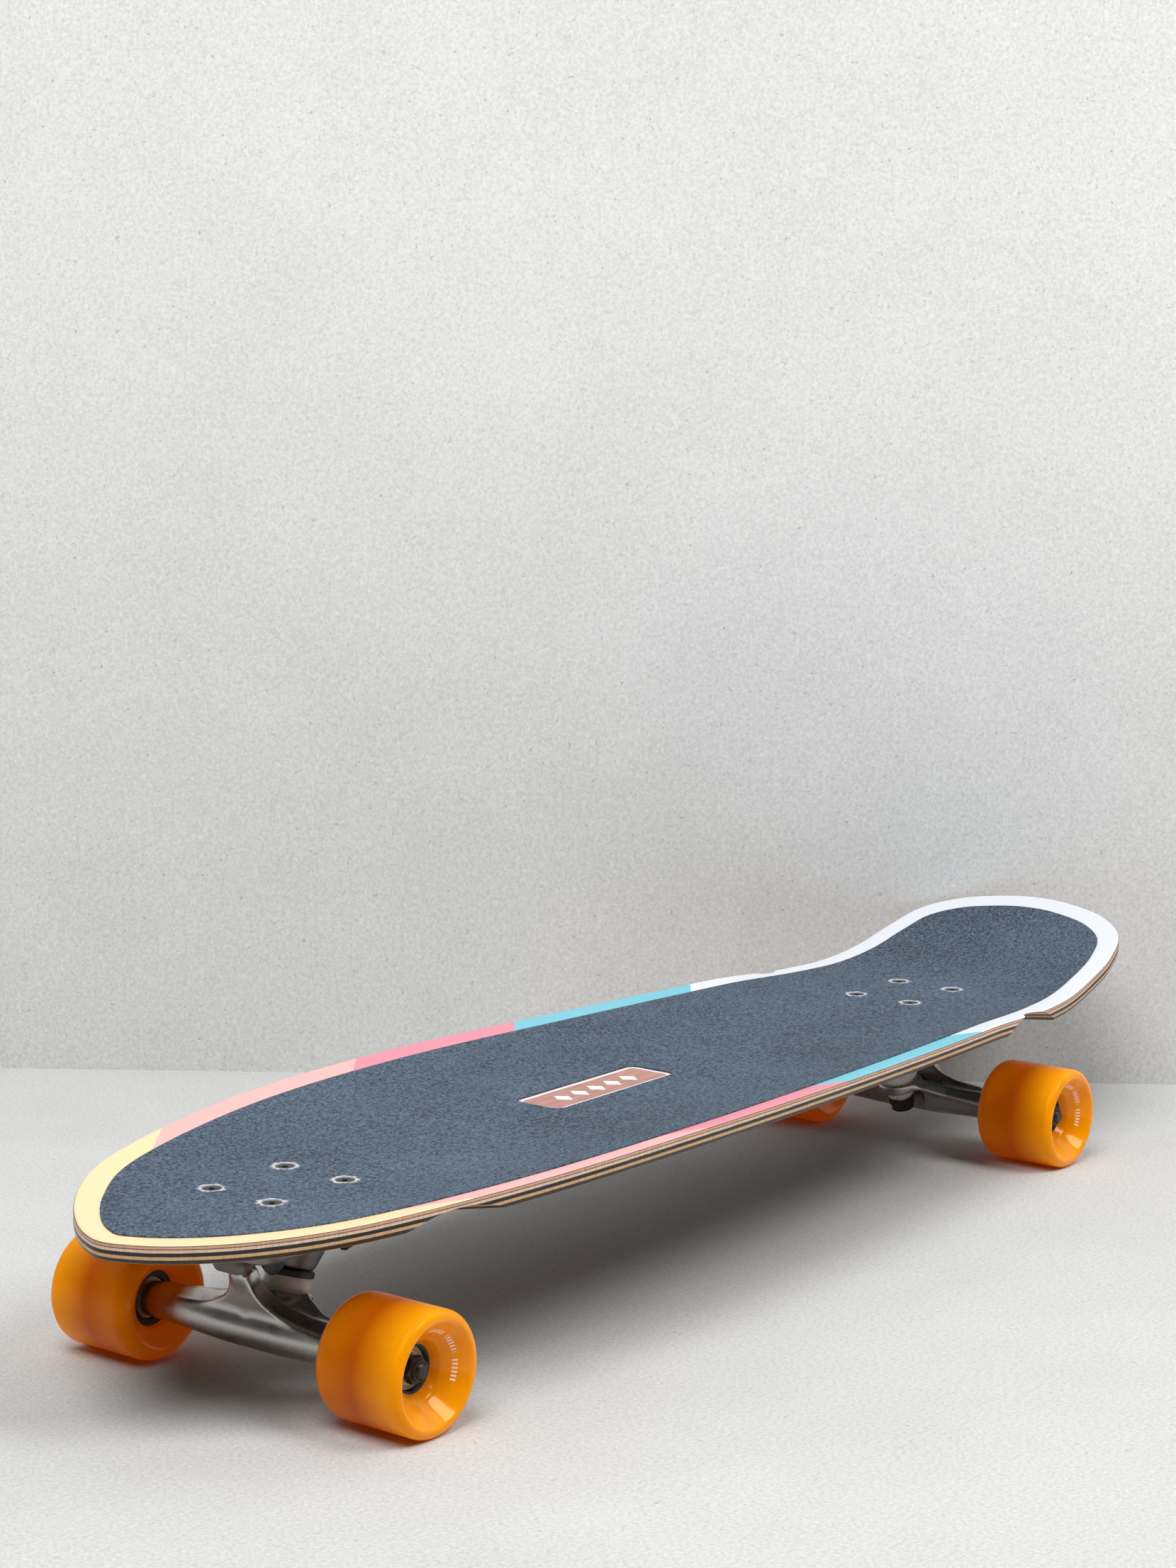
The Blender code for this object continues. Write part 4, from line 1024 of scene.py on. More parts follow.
def grip_material():
    """Grit with painted glints, worn pale in clouds and torn pale round the bolts."""
    look = bpy.context.scene.longboard_deck
    material, nodes, shader = new_material("grip_grit", {"Roughness": 0.85, "Specular IOR Level": 0.2})
    place = object_place(nodes)
    x, y = nodes.parts(place)[:2]
    fine = nodes.noise(place, 1300, detail=2.0, roughness=0.7)
    coarse = nodes.noise(place, 480, detail=3.0, roughness=0.7)
    cloud = nodes.noise(place, 9, detail=5.0, roughness=0.6)
    # Painted glints: bright specks in the colour stand for light caught by the grit
    painted_glints = nodes.span(nodes.noise(place, 620, detail=2.0, roughness=0.8), 0.64, 0.74, 0.0, 2.4)
    worn = nodes.span(cloud, 0.35, 0.7, -0.10, 0.22)
    level = nodes.chain("ADD", nodes.uneven(fine, -0.7, 0.7), nodes.span(coarse, 0.35, 0.65, -0.6, 0.6),
                        painted_glints, worn, 1.0)
    frayed = nodes.uneven(nodes.noise(place, 500, detail=3), -0.0014, 0.0014)
    torn = nodes.math("ADD", bolt_distance(nodes, x, y), frayed)
    ring = nodes.span(torn, BOLT_HEAD_RADIUS + 0.0010, BOLT_HEAD_RADIUS + 0.0030, 0.95, 0.0)
    feed(nodes, shader, colour=nodes.mix(ring, nodes.dimmed(look.grit, level), tone(214, 216, 220)),
         normal=nodes.bump(nodes.math("ADD", fine, coarse), 0.00035))
    return material


def metal_material(name, colour, roughness, grain, depth, metallic=1.0):
    """Metal with uneven gloss and a surface grain of a noise scale and a depth."""
    material, nodes, shader = new_material(name, {"Metallic": metallic})
    place = object_place(nodes)
    patch = nodes.noise(place, 90, detail=4.0)
    fine = nodes.noise(place, grain, detail=3.0, roughness=0.65)
    level = nodes.math("MULTIPLY", nodes.uneven(patch, 0.96, 1.03), nodes.uneven(fine, 0.94, 1.05))
    feed(nodes, shader, colour=nodes.dimmed(colour, level),
         roughness=nodes.uneven(patch, roughness - 0.03, roughness + 0.04),
         normal=nodes.bump(fine, depth))
    return material


def dull_material(name, colour, roughness, grain, depth):
    """Rubber or hard plastic."""
    return metal_material(name, colour, roughness, grain, depth, metallic=0.0)


def fastener_finishes():
    """Bright steel, blackened steel and nylon, which several operators share."""
    return [bpy.data.materials[name] for name in ("bright_steel", "black_steel", "black_nylon")]


def printed_marks(nodes, x, y, radius, height):
    """1 on the dashes round the wheel's outer face."""
    turn = nodes.math("DIVIDE", nodes.math("ARCTAN2", y, x), 2 * math.pi)
    around = nodes.math("FRACT", nodes.math("SUBTRACT", turn, MARK_START))

    def part(count, share):
        return nodes.math("LESS_THAN", nodes.math("FRACT", nodes.math("MULTIPLY", around, count)), share)

    return nodes.chain("MULTIPLY", part(MARK_DASHES, DASH_SHARE), part(MARK_WORDS, WORD_SHARE),
                       nodes.math("LESS_THAN", around, MARK_REACH), nodes.band(radius, *MARK_RING, 0.00008),
                       nodes.math("GREATER_THAN", height, MARK_LEAST_HEIGHT))


def urethane_material():
    """Clear amber, with its thin edges painted brighter as if lit through, a painted glow, a worn tread and
    a glossy dish.
    """
    look = bpy.context.scene.longboard_wheels
    material, nodes, shader = new_material("amber_urethane", {
        "Subsurface Weight": 0.4, "Subsurface Scale": 0.008, "Subsurface Radius": (1.0, 0.4, 0.03),
        "IOR": 1.45, "Specular Tint": (1.0, 0.5, 0.06, 1.0), "Coat Roughness": 0.06,
        # Emission paints a glow that stands for light shining through the urethane, though the wheel is no
        # lamp
        "Emission Color": (1.0, 0.11, 0.0, 1.0), "Emission Strength": look.painted_glow,
    })
    kept = nodes.add("ShaderNodeAttribute", attribute_name="turned").outputs["Vector"]
    x, y, height = nodes.parts(kept)
    radius = nodes.length(x, y)
    # Painted light: the thin edges are brighter, as if lit through, and the middle between them carries the
    # painted shade of the core
    outer_shine = nodes.span(height, 0.0, WHEEL_HALF_WIDTH - 0.006)
    inner_shine = nodes.span(height, -0.002, -WHEEL_HALF_WIDTH, 0.0, 0.45)
    shine_through = nodes.math("MAXIMUM", outer_shine, inner_shine)
    cloudy = nodes.uneven(nodes.noise(kept, 60, detail=3), 0.92, 1.06)
    colour = nodes.dimmed(nodes.mix(shine_through, look.urethane, look.lit_lip), cloudy)
    marks = nodes.math("MULTIPLY", printed_marks(nodes, x, y, radius, height), 0.95)
    scuff = nodes.noise(kept, 300, detail=4.0)
    tread = nodes.span(radius, WHEEL_RADIUS - 0.0012, WHEEL_RADIUS - 0.0002)
    worn = nodes.math("MULTIPLY", tread, 0.18)
    in_dish = nodes.span(radius, WHEEL_RADIUS - 0.0045, WHEEL_RADIUS - 0.0035, 0.3, 0.0)
    feed(nodes, shader, colour=nodes.mix(marks, colour, look.marks),
         roughness=nodes.math("ADD", worn, nodes.uneven(scuff, 0.17, 0.25)),
         normal=nodes.bump(scuff, 0.00006), coat=in_dish)
    return material


def bushing_material():
    look = bpy.context.scene.longboard_trucks
    material, nodes, shader = new_material("bushing_urethane", {
        "Subsurface Weight": 0.3, "Subsurface Scale": 0.003, "Subsurface Radius": (1.0, 0.7, 0.4),
    })
    cloudy = nodes.noise(object_place(nodes), 150, detail=3.0)
    feed(nodes, shader, colour=nodes.dimmed(look.bushing, nodes.uneven(cloudy, 0.9, 1.05)),
         roughness=nodes.uneven(cloudy, 0.32, 0.45), normal=nodes.bump(cloudy, 0.00005))
    return material


def stage_material(name, colour, low=-1.0):
    """Matt concrete, clear from behind, so it never hides the board. Painted shade darkens it down to a low
    height.
    """
    material, nodes, shader = new_material(name, {"Roughness": 0.9, "Specular IOR Level": 0.1})
    place = object_place(nodes)
    # Painted shade: darker over the half metre above the low height, as where the wall meets the floor
    painted_shade_at_foot = nodes.span(nodes.parts(place)[2], low, low + 0.5, 0.80, 1.0)
    cloudy = nodes.uneven(nodes.noise(place, 6, detail=6, roughness=0.65), 0.95, 1.03)
    grain = nodes.uneven(nodes.noise(place, 420, detail=4.0, roughness=0.8), 0.80, 1.14)
    pits = nodes.span(nodes.noise(place, 260, detail=4.0, roughness=0.8), 0.62, 0.70, 1.0, 0.55)
    feed(nodes, shader, colour=nodes.dimmed(colour, nodes.chain("MULTIPLY", cloudy, grain, pits, painted_shade_at_foot)))
    clear = nodes.add("ShaderNodeBsdfTransparent").outputs[0]
    behind = nodes.add("ShaderNodeNewGeometry").outputs["Backfacing"]
    both = nodes.add("ShaderNodeMixShader", {0: behind, 1: shader.outputs[0], 2: clear}).outputs[0]
    output = material.node_tree.nodes["Material Output"]
    nodes.tree.links.new(both, output.inputs["Surface"])
    return material


# Deck


def deck_edge(steps=12):
    """The deck's half outline from nose to tail."""
    (nose_x, nose_y), (tail_x, tail_y) = DECK_OUTLINE[1], DECK_OUTLINE[-2]
    return smooth_line([(nose_x, -nose_y), *DECK_OUTLINE, (tail_x, -tail_y)], steps)


def inset(line, distance, at_tip=0.0):
    """Move the half outline inwards, a little less at the nose. Its ends stay on the middle line."""
    flip = Vector((1, -1))
    points = [line[1] * flip, *line, line[-2] * flip]
    result = []
    for before, point, after in zip(points, points[1:], points[2:]):
        run = (after - before).normalized()
        share = min(max((point.x - TIP_X) / (DECK_OUTLINE[0][0] - TIP_X), 0.0), 1.0)
        moved = distance - at_tip * share * share * (3 - 2 * share)
        result.append(point + moved * Vector((-run.y, run.x)))
    return result


def deck_height(x, y):
    """Height of the wood's upper face: a flat strip, raised edges and a bent tail."""
    concave = CONCAVE[0][1]
    for (start, first), (end, last) in zip(CONCAVE, CONCAVE[1:]):
        share = np.clip((start - x) / (start - end), 0, 1)
        concave = concave + (last - first) * share * share * (3 - 2 * share)
    beyond = np.maximum(np.abs(y) - FLAT_HALF_WIDTH, 0.0)
    past = np.maximum(TAIL_BEND_X - x, 0.0)
    bend = np.minimum(past, TAIL_SLOPE * TAIL_BEND_RADIUS)
    rise = bend * bend / (2 * TAIL_BEND_RADIUS) + TAIL_SLOPE * (past - bend)
    return DECK_TOP + concave * beyond * beyond + rise


def curved_plate(edge, rows, columns=44, at_tip=0.0):
    """A closed plate along the deck's upper face. Rows run round its rim, as (inset, height over it)."""
    bm = bmesh.new()
    last = len(edge) - 1

    def point(place, lift):
        x, y = place
        return bm.verts.new((x, y, deck_height(x, y) + lift))

    def face(line, lift):
        middle = (line[0].x + line[-1].x) / 2
        grid = []
        for along in line:
            shares = [2 * i / columns - 1 for i in range(columns + 1)]
            spread = [(middle + (along.x - middle) * (SPINE_SHARE + (1 - SPINE_SHARE) * abs(share)),
                       along.y * share) for share in shares]
            grid.append([point(place, lift) for place in spread])
        for nearer, further in zip(grid, grid[1:]):
            for i in range(columns):
                bm.faces.new((nearer[i], nearer[i + 1], further[i + 1], further[i]))
        return [row[-1] for row in grid] + [row[0] for row in reversed(grid[1:-1])]

    rings = [face(inset(edge, rows[0][0], at_tip), rows[0][1])]
    for distance, lift in rows[1:-1]:
        line = inset(edge, distance, at_tip)
        mirror = [(place.x, -place.y) for place in reversed(line[1:-1])]
        rings.append([point(place, lift) for place in [tuple(place) for place in line] + mirror])
    rings.append(face(inset(edge, rows[-1][0], at_tip), rows[-1][1]))
    for upper, lower in zip(rings, rings[1:]):
        for i in range(2 * last):
            after = (i + 1) % (2 * last)
            bm.faces.new((upper[i], upper[after], lower[after], lower[i]))
    return closed(mesh_from(bm))


def well_cutter(side):
    lean = Matrix.Rotation(side * WELL_LEAN, 4, "X")
    top = Matrix.Translation((WELL_X, side * WELL_TOP_Y, WELL_TOP_Z))
    centre = top @ lean @ Matrix.Translation((0, 0, -WELL_RADIUS)) @ Matrix.Rotation(math.pi / 2, 4, "X")
    return placed(cylinder(WELL_RADIUS, WELL_LENGTH / 2, -WELL_LENGTH / 2, WELL_STEPS), centre)


def at_bolts(mesh, place):
    """Copies of a mesh at the four bolts of a truck."""
    return [placed(mesh, place @ Matrix.Translation(spot)) for spot in bolt_places()]


def countersunk_hole(floor):
    """Room for a bolt through the deck."""
    rim, high = BOLT_HEAD_RADIUS + GAP, DECK_TOP + 0.004
    step = BOLT_TOP - BOLT_HEAD_DEPTH - GAP
    return turned([(0.0, high), (rim, high), (rim, BOLT_TOP - 0.0004),
                   (BOLT_HOLE_RADIUS, step), (BOLT_HOLE_RADIUS, floor), (0.0, floor)], HOLE_STEPS)


def deck_mesh():
    look = bpy.context.scene.longboard_deck
    upper, lower = look.top_round, look.bottom_round
    rows = [(upper - x, z - upper) for x, z in arc(0, 0, upper, 90, 0, 8)]
    rows += [(lower - x, lower - look.thickness + z) for x, z in arc(0, 0, lower, 0, -90, 10)]
    hole = countersunk_hole(DECK_TOP - 1.2 * look.thickness)
    cutters = []
    for end in ENDS:
        cutters += [placed(well_cutter(side), truck_frame(end)) for side in (1, -1)]
        cutters += at_bolts(hole, truck_frame(end))
    mesh = boolean(curved_plate(deck_edge(), rows), cutters)
    places = np.zeros(len(mesh.vertices) * 3)
    mesh.vertices.foreach_get("co", places)
    x, y, z = places.reshape(-1, 3).T
    depth = mesh.attributes.new("ply_depth", "FLOAT", "POINT")
    depth.data.foreach_set("value", ((deck_height(x, y) - z) / look.thickness).astype(np.float32))
    return mesh


def grip_mesh():
    look = bpy.context.scene.longboard_deck
    margin, top = look.grip_margin, look.grip_thickness
    rows = [(margin + GRIP_EDGE, top), (margin + 0.1 * GRIP_EDGE, top - 0.4 * GRIP_EDGE),
            (margin, top - GRIP_EDGE), (margin, GRIP_LIFT), (margin + GRIP_EDGE, GRIP_LIFT)]
    blank = curved_plate(deck_edge(), rows, 60, GRIP_TIP_GAIN)
    high, low = DECK_TOP + CUT_REACH, DECK_TOP - CUT_REACH
    shape = rounded_rectangle(WINDOW_LENGTH, WINDOW_WIDTH, WINDOW_CORNER)
    cutters = [placed(block([(shape, high), (shape, low)]), Matrix.Translation((WINDOW_X, 0, 0)))]
    hole = cylinder(BOLT_HEAD_RADIUS + 2 * GAP, high, low, HOLE_STEPS)
    for end in ENDS:
        cutters += at_bolts(hole, truck_frame(end))
    return boolean(blank, cutters)


class LONGBOARD_OT_deck(bpy.types.Operator):
    """Build the painted plywood deck with its wheel wells"""

    bl_idname = "longboard.add_deck"
    bl_label = "Deck"

    def execute(self, context):
        add_piece("deck_wood", deck_mesh(), Matrix(), "board", ["deck"],
                  deck_material(), sharp_angle=13)
        return {"FINISHED"}


class LONGBOARD_OT_grip(bpy.types.Operator):
    """Lay the grip tape with its bare window"""

    bl_idname = "longboard.add_grip"
    bl_label = "Grip tape"

    def execute(self, context):
        add_piece("grip_sheet", grip_mesh(), Matrix(), "board", ["griptape"],
                  grip_material(), sharp_angle=40)
        return {"FINISHED"}


# Trucks


def riser_mesh():
    rows = [(RISER_EDGE, 0.0), (0.3 * RISER_EDGE, 0.3 * RISER_EDGE), (0.0, RISER_EDGE)]
    sections = [(inward, RISER_TOP - drop) for inward, drop in rows]
    sections += [(inward, RISER_BOTTOM + drop) for inward, drop in reversed(rows)]
    shapes = [(rounded_rectangle(RISER_SIZE[0] - 2 * inward, RISER_SIZE[1] - 2 * inward,
                                 PLATE_CORNER - inward), height) for inward, height in sections]
    high, low = RISER_TOP + RISER_EDGE, RISER_BOTTOM - RISER_EDGE
    hole = cylinder(BOLT_HOLE_RADIUS, high, low, RISER_HOLE_STEPS)
    return boolean(block(shapes), at_bolts(hole, Matrix()))


def baseplate_field(points):
    """Flange, kingpin boss and pivot housing, cast as one."""
    middle = (BASE_TOP + BASE_BOTTOM) / 2
    flange = plate_field(points, Matrix.Translation((0, 0, middle)),
                         rounded_rectangle(*BASE_SIZE, PLATE_CORNER, 5), BASE_TOP - BASE_BOTTOM, FLANGE_EDGE)
    boss = turned_field(points, KINGPIN, [(0.0, BOSS_LOW), (BOSS_LOW_RADIUS - BOSS_CHAMFER, BOSS_LOW),
                                          (BOSS_LOW_RADIUS, BOSS_LOW + BOSS_CHAMFER),
                                          (BOSS_HIGH_RADIUS, BOSS_HIGH), (0.0, BOSS_HIGH)])
    x, y, z = seen_from(points, PIVOT)
    spread = HOUSING_LOW_HALF + HOUSING_SPREAD * (z - HOUSING_MOUTH)
    housing = np.maximum(np.abs(x), np.abs(y)) - spread
    corner = (np.abs(x) + np.abs(y) - 2 * spread + HOUSING_CHAMFER) / math.sqrt(2)
    housing = carve(housing, -corner, SEAT_ROUND)
    housing = carve(housing, z - HOUSING_MOUTH, FLANGE_EDGE)
    past_flange = points[2] - (BASE_TOP - FLANGE_OVERLAP)
    housing = np.maximum(housing, past_flange)
    boss = np.maximum(boss, past_flange)
    solid = merge(merge(flange, housing, FILLET), boss, WIDE_FILLET)
    for spot in bolt_places()[::2]:
        hole = rod_field(points, Matrix.Translation(spot), BOLT_HOLE_RADIUS, BASE_BOTTOM - CUT_REACH,
                         BASE_TOP + CUT_REACH)
        solid = carve(solid, hole, HOLE_ROUND)
    high = KINGPIN_HEAD + BORE_REACH
    solid = carve(solid, rod_field(points, KINGPIN, KINGPIN_RADIUS + GAP, 0.0, high), SEAT_ROUND)
    head_room = rod_field(points, KINGPIN, KINGPIN_FLATS / math.sqrt(3) + 0.0004, KINGPIN_HEAD - GAP, high)
    solid = carve(solid, head_room, HOLE_ROUND)
    cup_room = rod_field(points, PIVOT, CUP_RADIUS + 2 * SNUG, 2 * HOUSING_MOUTH, CUP_BOWL_RADIUS)
    return carve(solid, cup_room, SEAT_ROUND)


def mirrored(outline):
    """A whole outline from its half on one side."""
    return outline + [(-width, along) for width, along in reversed(outline)]


def hanger_field(points):
    """Tube, web, neck, yoke and ring, cast as one, with seats for both bushings."""
    tube_shape = [(0.0, HANGER_HALF), *reversed(TUBE_PROFILE)]
    tube_shape += [(radius, -along) for radius, along in TUBE_PROFILE[1:]] + [(0.0, -HANGER_HALF)]
    bar = turned_field(points, AXLE, tube_shape)
    upright = Matrix.Rotation(math.pi / 2, 4, "Y") @ Matrix.Rotation(math.pi / 2, 4, "Z")
    web = plate_field(points, WEB @ upright, mirrored(WEB_OUTLINE), WEB_THICKNESS, WEB_EDGE)
    ball = arc(0.0, PIVOT_HEIGHT, PIVOT_RADIUS, 90, -40, 10)
    throat = [(radius, PIVOT_HEIGHT - drop) for radius, drop in NECK_PROFILE]
    neck = turned_field(points, WEB, [(0.0, PIVOT_HEIGHT + PIVOT_RADIUS), *ball[1:], *throat,
                                      (NECK_PROFILE[-1][0], NECK_LOW), (0.0, NECK_LOW)])
    slope = math.atan2(RING_CENTRE.z - AXLE_CENTRE.z, AXLE_CENTRE.x - RING_CENTRE.x)
    lying = Matrix.Translation(RING_CENTRE) @ Matrix.Rotation(slope, 4, "Y")
    lying = lying @ Matrix.Rotation(-math.pi / 2, 4, "Z")
    yoke = plate_field(points, lying, mirrored(YOKE_OUTLINE), YOKE_THICKNESS, YOKE_EDGE)
    ring_low = -RING_HALF - RING_LOWER_LIP
    ring = turned_field(points, KINGPIN, [(0.0, RING_HALF), (RING_RADIUS - RING_CHAMFER, RING_HALF),
                                          (RING_RADIUS, RING_HALF - RING_CHAMFER),
                                          (RING_RADIUS, ring_low + RING_CHAMFER),
                                          (RING_RADIUS - RING_CHAMFER, ring_low), (0.0, ring_low)])
    solid = merge(bar, web, WIDE_FILLET)
    solid = merge(solid, neck, NECK_FILLET)
    solid = merge(solid, merge(yoke, ring, FILLET), WIDE_FILLET)
    mouth = POCKET_RADIUS + POCKET_MOUTH_GAIN
    pocket = turned_field(points, KINGPIN, [(0.0, -RING_HALF), (mouth, -RING_HALF),
                                            (POCKET_RADIUS, POCKET_TOP), (POCKET_RADIUS, POCKET_LOW),
                                            (0.0, POCKET_LOW)], POCKET_STRETCH)
    solid = carve(solid, pocket, POCKET_ROUND)
    for radius, low, high in (
            (BOTTOM_SEAT_RADIUS, BOTTOM_SEAT_LOW, -SEAT_HALF), (TOP_SEAT_RADIUS, SEAT_HALF, BOSS_LOW),
            (TOP_CLEAR_RADIUS, RING_HALF, BOSS_LOW), (RING_HOLE_RADIUS, -RING_HOLE_HALF, RING_HOLE_HALF)):
        solid = carve(solid, rod_field(points, KINGPIN, radius, low, high), SEAT_ROUND)
    bore = rod_field(points, AXLE, AXLE_RADIUS + 2 * SNUG, -AXLE_BORE_HALF, AXLE_BORE_HALF)
    return carve(solid, bore, HOLE_ROUND)


class LONGBOARD_OT_castings(bpy.types.Operator):
    """Cast the baseplates and hangers, and lay the riser pads under the deck"""

    bl_idname = "longboard.add_castings"
    bl_label = "Risers, baseplates and hangers"

    def execute(self, context):
        look = context.scene.longboard_trucks
        rubber = dull_material("black_rubber", tone(32, 31, 32), roughness=0.62, grain=1200, depth=0.00008)
        rough = metal_material("cast_aluminium", look.baseplate, roughness=0.48, grain=1500, depth=0.00010)
        satin = metal_material("tumbled_aluminium", look.hanger, roughness=0.28, grain=1100, depth=0.00002)
        riser = riser_mesh()
        baseplate = casting(baseplate_field, *BASEPLATE_BOX)
        hanger = casting(hanger_field, *HANGER_BOX)
        for end in ENDS:
            place = truck_frame(end)
            add_piece(f"{end}_riser", riser, place, "board", [f"{end}_riser_pad"], rubber)
            add_piece(f"{end}_baseplate_casting", baseplate, place, "board",
                      [f"{end}_baseplate"], rough, sharp_angle=180)
            add_piece(f"{end}_hanger_casting", hanger, place, f"{end}_truck_hanger",
                      [f"{end}_hanger"], satin, sharp_angle=180)
        return {"FINISHED"}


def hexagon(flats, low, high):
    radius = flats / math.sqrt(3)
    corners = [(radius * math.cos(math.pi / 3 * i), radius * math.sin(math.pi / 3 * i)) for i in range(6)]
    return block([(corners, high), (corners, low)])


def nut_mesh(flats, height, bore, metal, nylon):
    """A lock nut. Its flat face is at height 0, and its collar round a nylon ring is below it."""
    point_radius = flats / math.sqrt(3)
    face_radius = flats * NUT_FACE_SHARE
    chamfer = point_radius - face_radius
    hex_low = -height * NUT_SIX_SIDED_SHARE
    turned_off = turned([(0.0, 0.0), (face_radius, 0.0), (point_radius + 0.0002, -0.5 * chamfer),
                         (point_radius + 0.0002, hex_low + 0.5 * chamfer), (face_radius, hex_low),
                         (0.0, hex_low)], WIDE_RING_STEPS)
    body = boolean(hexagon(flats, hex_low, 0.0), [turned_off], "INTERSECT")
    body = boolean(body, [cylinder(bore, height, -2 * height, ROD_STEPS)])
    wide = flats * NUT_COLLAR_SHARE
    inside = bore + NUT_COLLAR_ROOM
    collar = tube(filleted([(bore + 0.0016, hex_low + SNUG), (wide, hex_low + SNUG),
                            (wide, -height, 0.0010), (inside, -height)]), inside, RING_STEPS)
    ring = tube(filleted([(inside, hex_low), (inside, GAP - height, 0.0002), (bore - SNUG, GAP - height)]),
                bore - 2 * SNUG, ROD_STEPS)
    return joined([(body, metal), (collar, metal), (ring, nylon)])


def kingpin_mesh(steel):
    """A bolt with a six-sided head, threaded below the hanger's ring."""
    side = rod_rows(KINGPIN_RADIUS, KINGPIN_TIP + TIP_CHAMFER, 0.0)
    shaft = turned([(0.0, KINGPIN_HEAD), (KINGPIN_RADIUS, KINGPIN_HEAD), *side,
                    (KINGPIN_RADIUS - TIP_CHAMFER, KINGPIN_TIP), (0.0, KINGPIN_TIP)], ROD_STEPS)
    shaft = pressed(shaft, KINGPIN_TIP - 0.001, -0.001, KINGPIN_RADIUS, steel)
    head = hexagon(KINGPIN_FLATS, KINGPIN_HEAD, KINGPIN_HEAD + KINGPIN_HEAD_HEIGHT)
    return joined([(shaft, steel), (head, steel)])


def cupped_washer_mesh(bore):
    """The washer over the upper bushing, with a lip that hangs down round it."""
    low, high, radius = TOP_WASHER
    inside, lip_low = radius - LIP_THICKNESS, low - WASHER_LIP
    return tube(filleted([(bore, high, 0.0002), (radius, high, 0.0010), (radius, lip_low, 0.0003),
                          (inside, lip_low, 0.0003), (inside, low, 0.0005), (bore + 0.0004, low)]),
                bore, WIDE_RING_STEPS)


def flat_washer_mesh(bore):
    low, high, radius = BOTTOM_WASHER
    return tube(filleted([(bore + 0.0002, high), (radius, high, 0.0003), (radius, low, 0.0003),
                          (bore + 0.0002, low)]), bore, RING_STEPS)


def pivot_bowl_mesh():
    """The plastic cup that the hanger's pivot turns in."""
    return turned([(0.0, CUP_SHOULDER[1]), CUP_SHOULDER, (CUP_RADIUS, CUP_SIDE_TOP),
                   (CUP_RADIUS, CUP_MOUTH), (CUP_BOWL_RADIUS, CUP_MOUTH),
                   *arc(0.0, 0.0, CUP_BOWL_RADIUS, 0, 85, 6), (0.0, CUP_BOWL_RADIUS)], ROD_STEPS)


class LONGBOARD_OT_steering(bpy.types.Operator):
    """Stack the kingpins with their nuts, washers, bushings and pivot cups"""

    bl_idname = "longboard.add_steering"
    bl_label = "Kingpins and bushings"

    def execute(self, context):
        steel, black, nylon = fastener_finishes()
        urethane = bushing_material()
        bore = KINGPIN_RADIUS + GAP
        nut = placed(nut_mesh(KINGPIN_FLATS, KINGPIN_NUT_HEIGHT, bore, black, nylon),
                     Matrix.Translation((0, 0, KINGPIN_NUT_TOP)))
        stack = [
            ("kingpin_bolt", kingpin_mesh(steel), "steel", "kingpin", None),
            ("kingpin_lock_nut", nut, "black_steel", "kingpin_nut", None),
            ("cupped_washer", cupped_washer_mesh(bore), "black_steel", "top_washer", black),
            ("flat_washer", flat_washer_mesh(bore), "steel", "bottom_washer", steel),
        ]
        barrel = tube(filleted(BARREL), bore, WIDE_RING_STEPS)
        cone = tube(filleted(CONE), bore, WIDE_RING_STEPS)
        bushings = [
            ("barrel_bushing", barrel, "top_bushing", TOP_WASHER[0], SEAT_HALF),
            ("cone_bushing", cone, "bottom_bushing", BOTTOM_WASHER[1], -SEAT_HALF),
        ]
        cup = pivot_bowl_mesh()
        for end in ENDS:
            place = truck_frame(end) @ KINGPIN
            for name, mesh, slot, node, finish in stack:
                add_piece(f"{end}_{name}", mesh, place, "board", [f"{end}_{node}"], finish)
            for name, mesh, node, fixed, moving in bushings:
                bushing = add_piece(f"{end}_{name}", mesh, place, None,
                                    [f"{end}_{node}"], urethane)
                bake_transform(bushing)
            add_piece(f"{end}_pivot_bowl", cup, truck_frame(end) @ PIVOT, "board",
                      [f"{end}_pivot_cup"], nylon)
        return {"FINISHED"}


# Wheels


def tyre_profile():
    """Outline of the soft part. Height 0 is the wheel's middle and + is outwards."""
    half = WHEEL_HALF_WIDTH
    ridge = (WHEEL_RADIUS - WHEEL_OUTER_ROUND, half)
    curve = smooth_line([(WHEEL_RADIUS, half - 0.002), ridge, *OUTER_DISH, OUTER_MOUTH[0]], 6)[1:]
    outer = arc(WHEEL_RADIUS - WHEEL_OUTER_ROUND, half - WHEEL_OUTER_ROUND, WHEEL_OUTER_ROUND, 90, 0, 12)
    tread = [(WHEEL_RADIUS, half - WHEEL_OUTER_ROUND - share * (2 * half - WHEEL_OUTER_ROUND
                                                              - WHEEL_INNER_ROUND))
             for share in (0.25, 0.5, 0.75)]
    inner = arc(WHEEL_RADIUS - WHEEL_INNER_ROUND, WHEEL_INNER_ROUND - half, WHEEL_INNER_ROUND, 0, -75, 14)
    rim = INNER_DISH[-1]
    back = smooth_line([inner[-3], inner[-1], *INNER_DISH, (rim[0], rim[1] + 0.004)], 5)[1:]
    mouth = OUTER_MOUTH[-1][0] - 2 * SNUG
    inside = [(HUB_RADIUS, rim[1] + 0.0008), (HUB_RADIUS, HUB_LOW), (HUB_RADIUS, HUB_HIGH - 0.0004),
              (mouth, HUB_HIGH - 0.0004), (mouth, HUB_HIGH + SNUG)]
    front = [*OUTER_MOUTH[::-1], *reversed(curve)]
    return [tuple(point) for point in outer + tread + inner + back + inside + front]


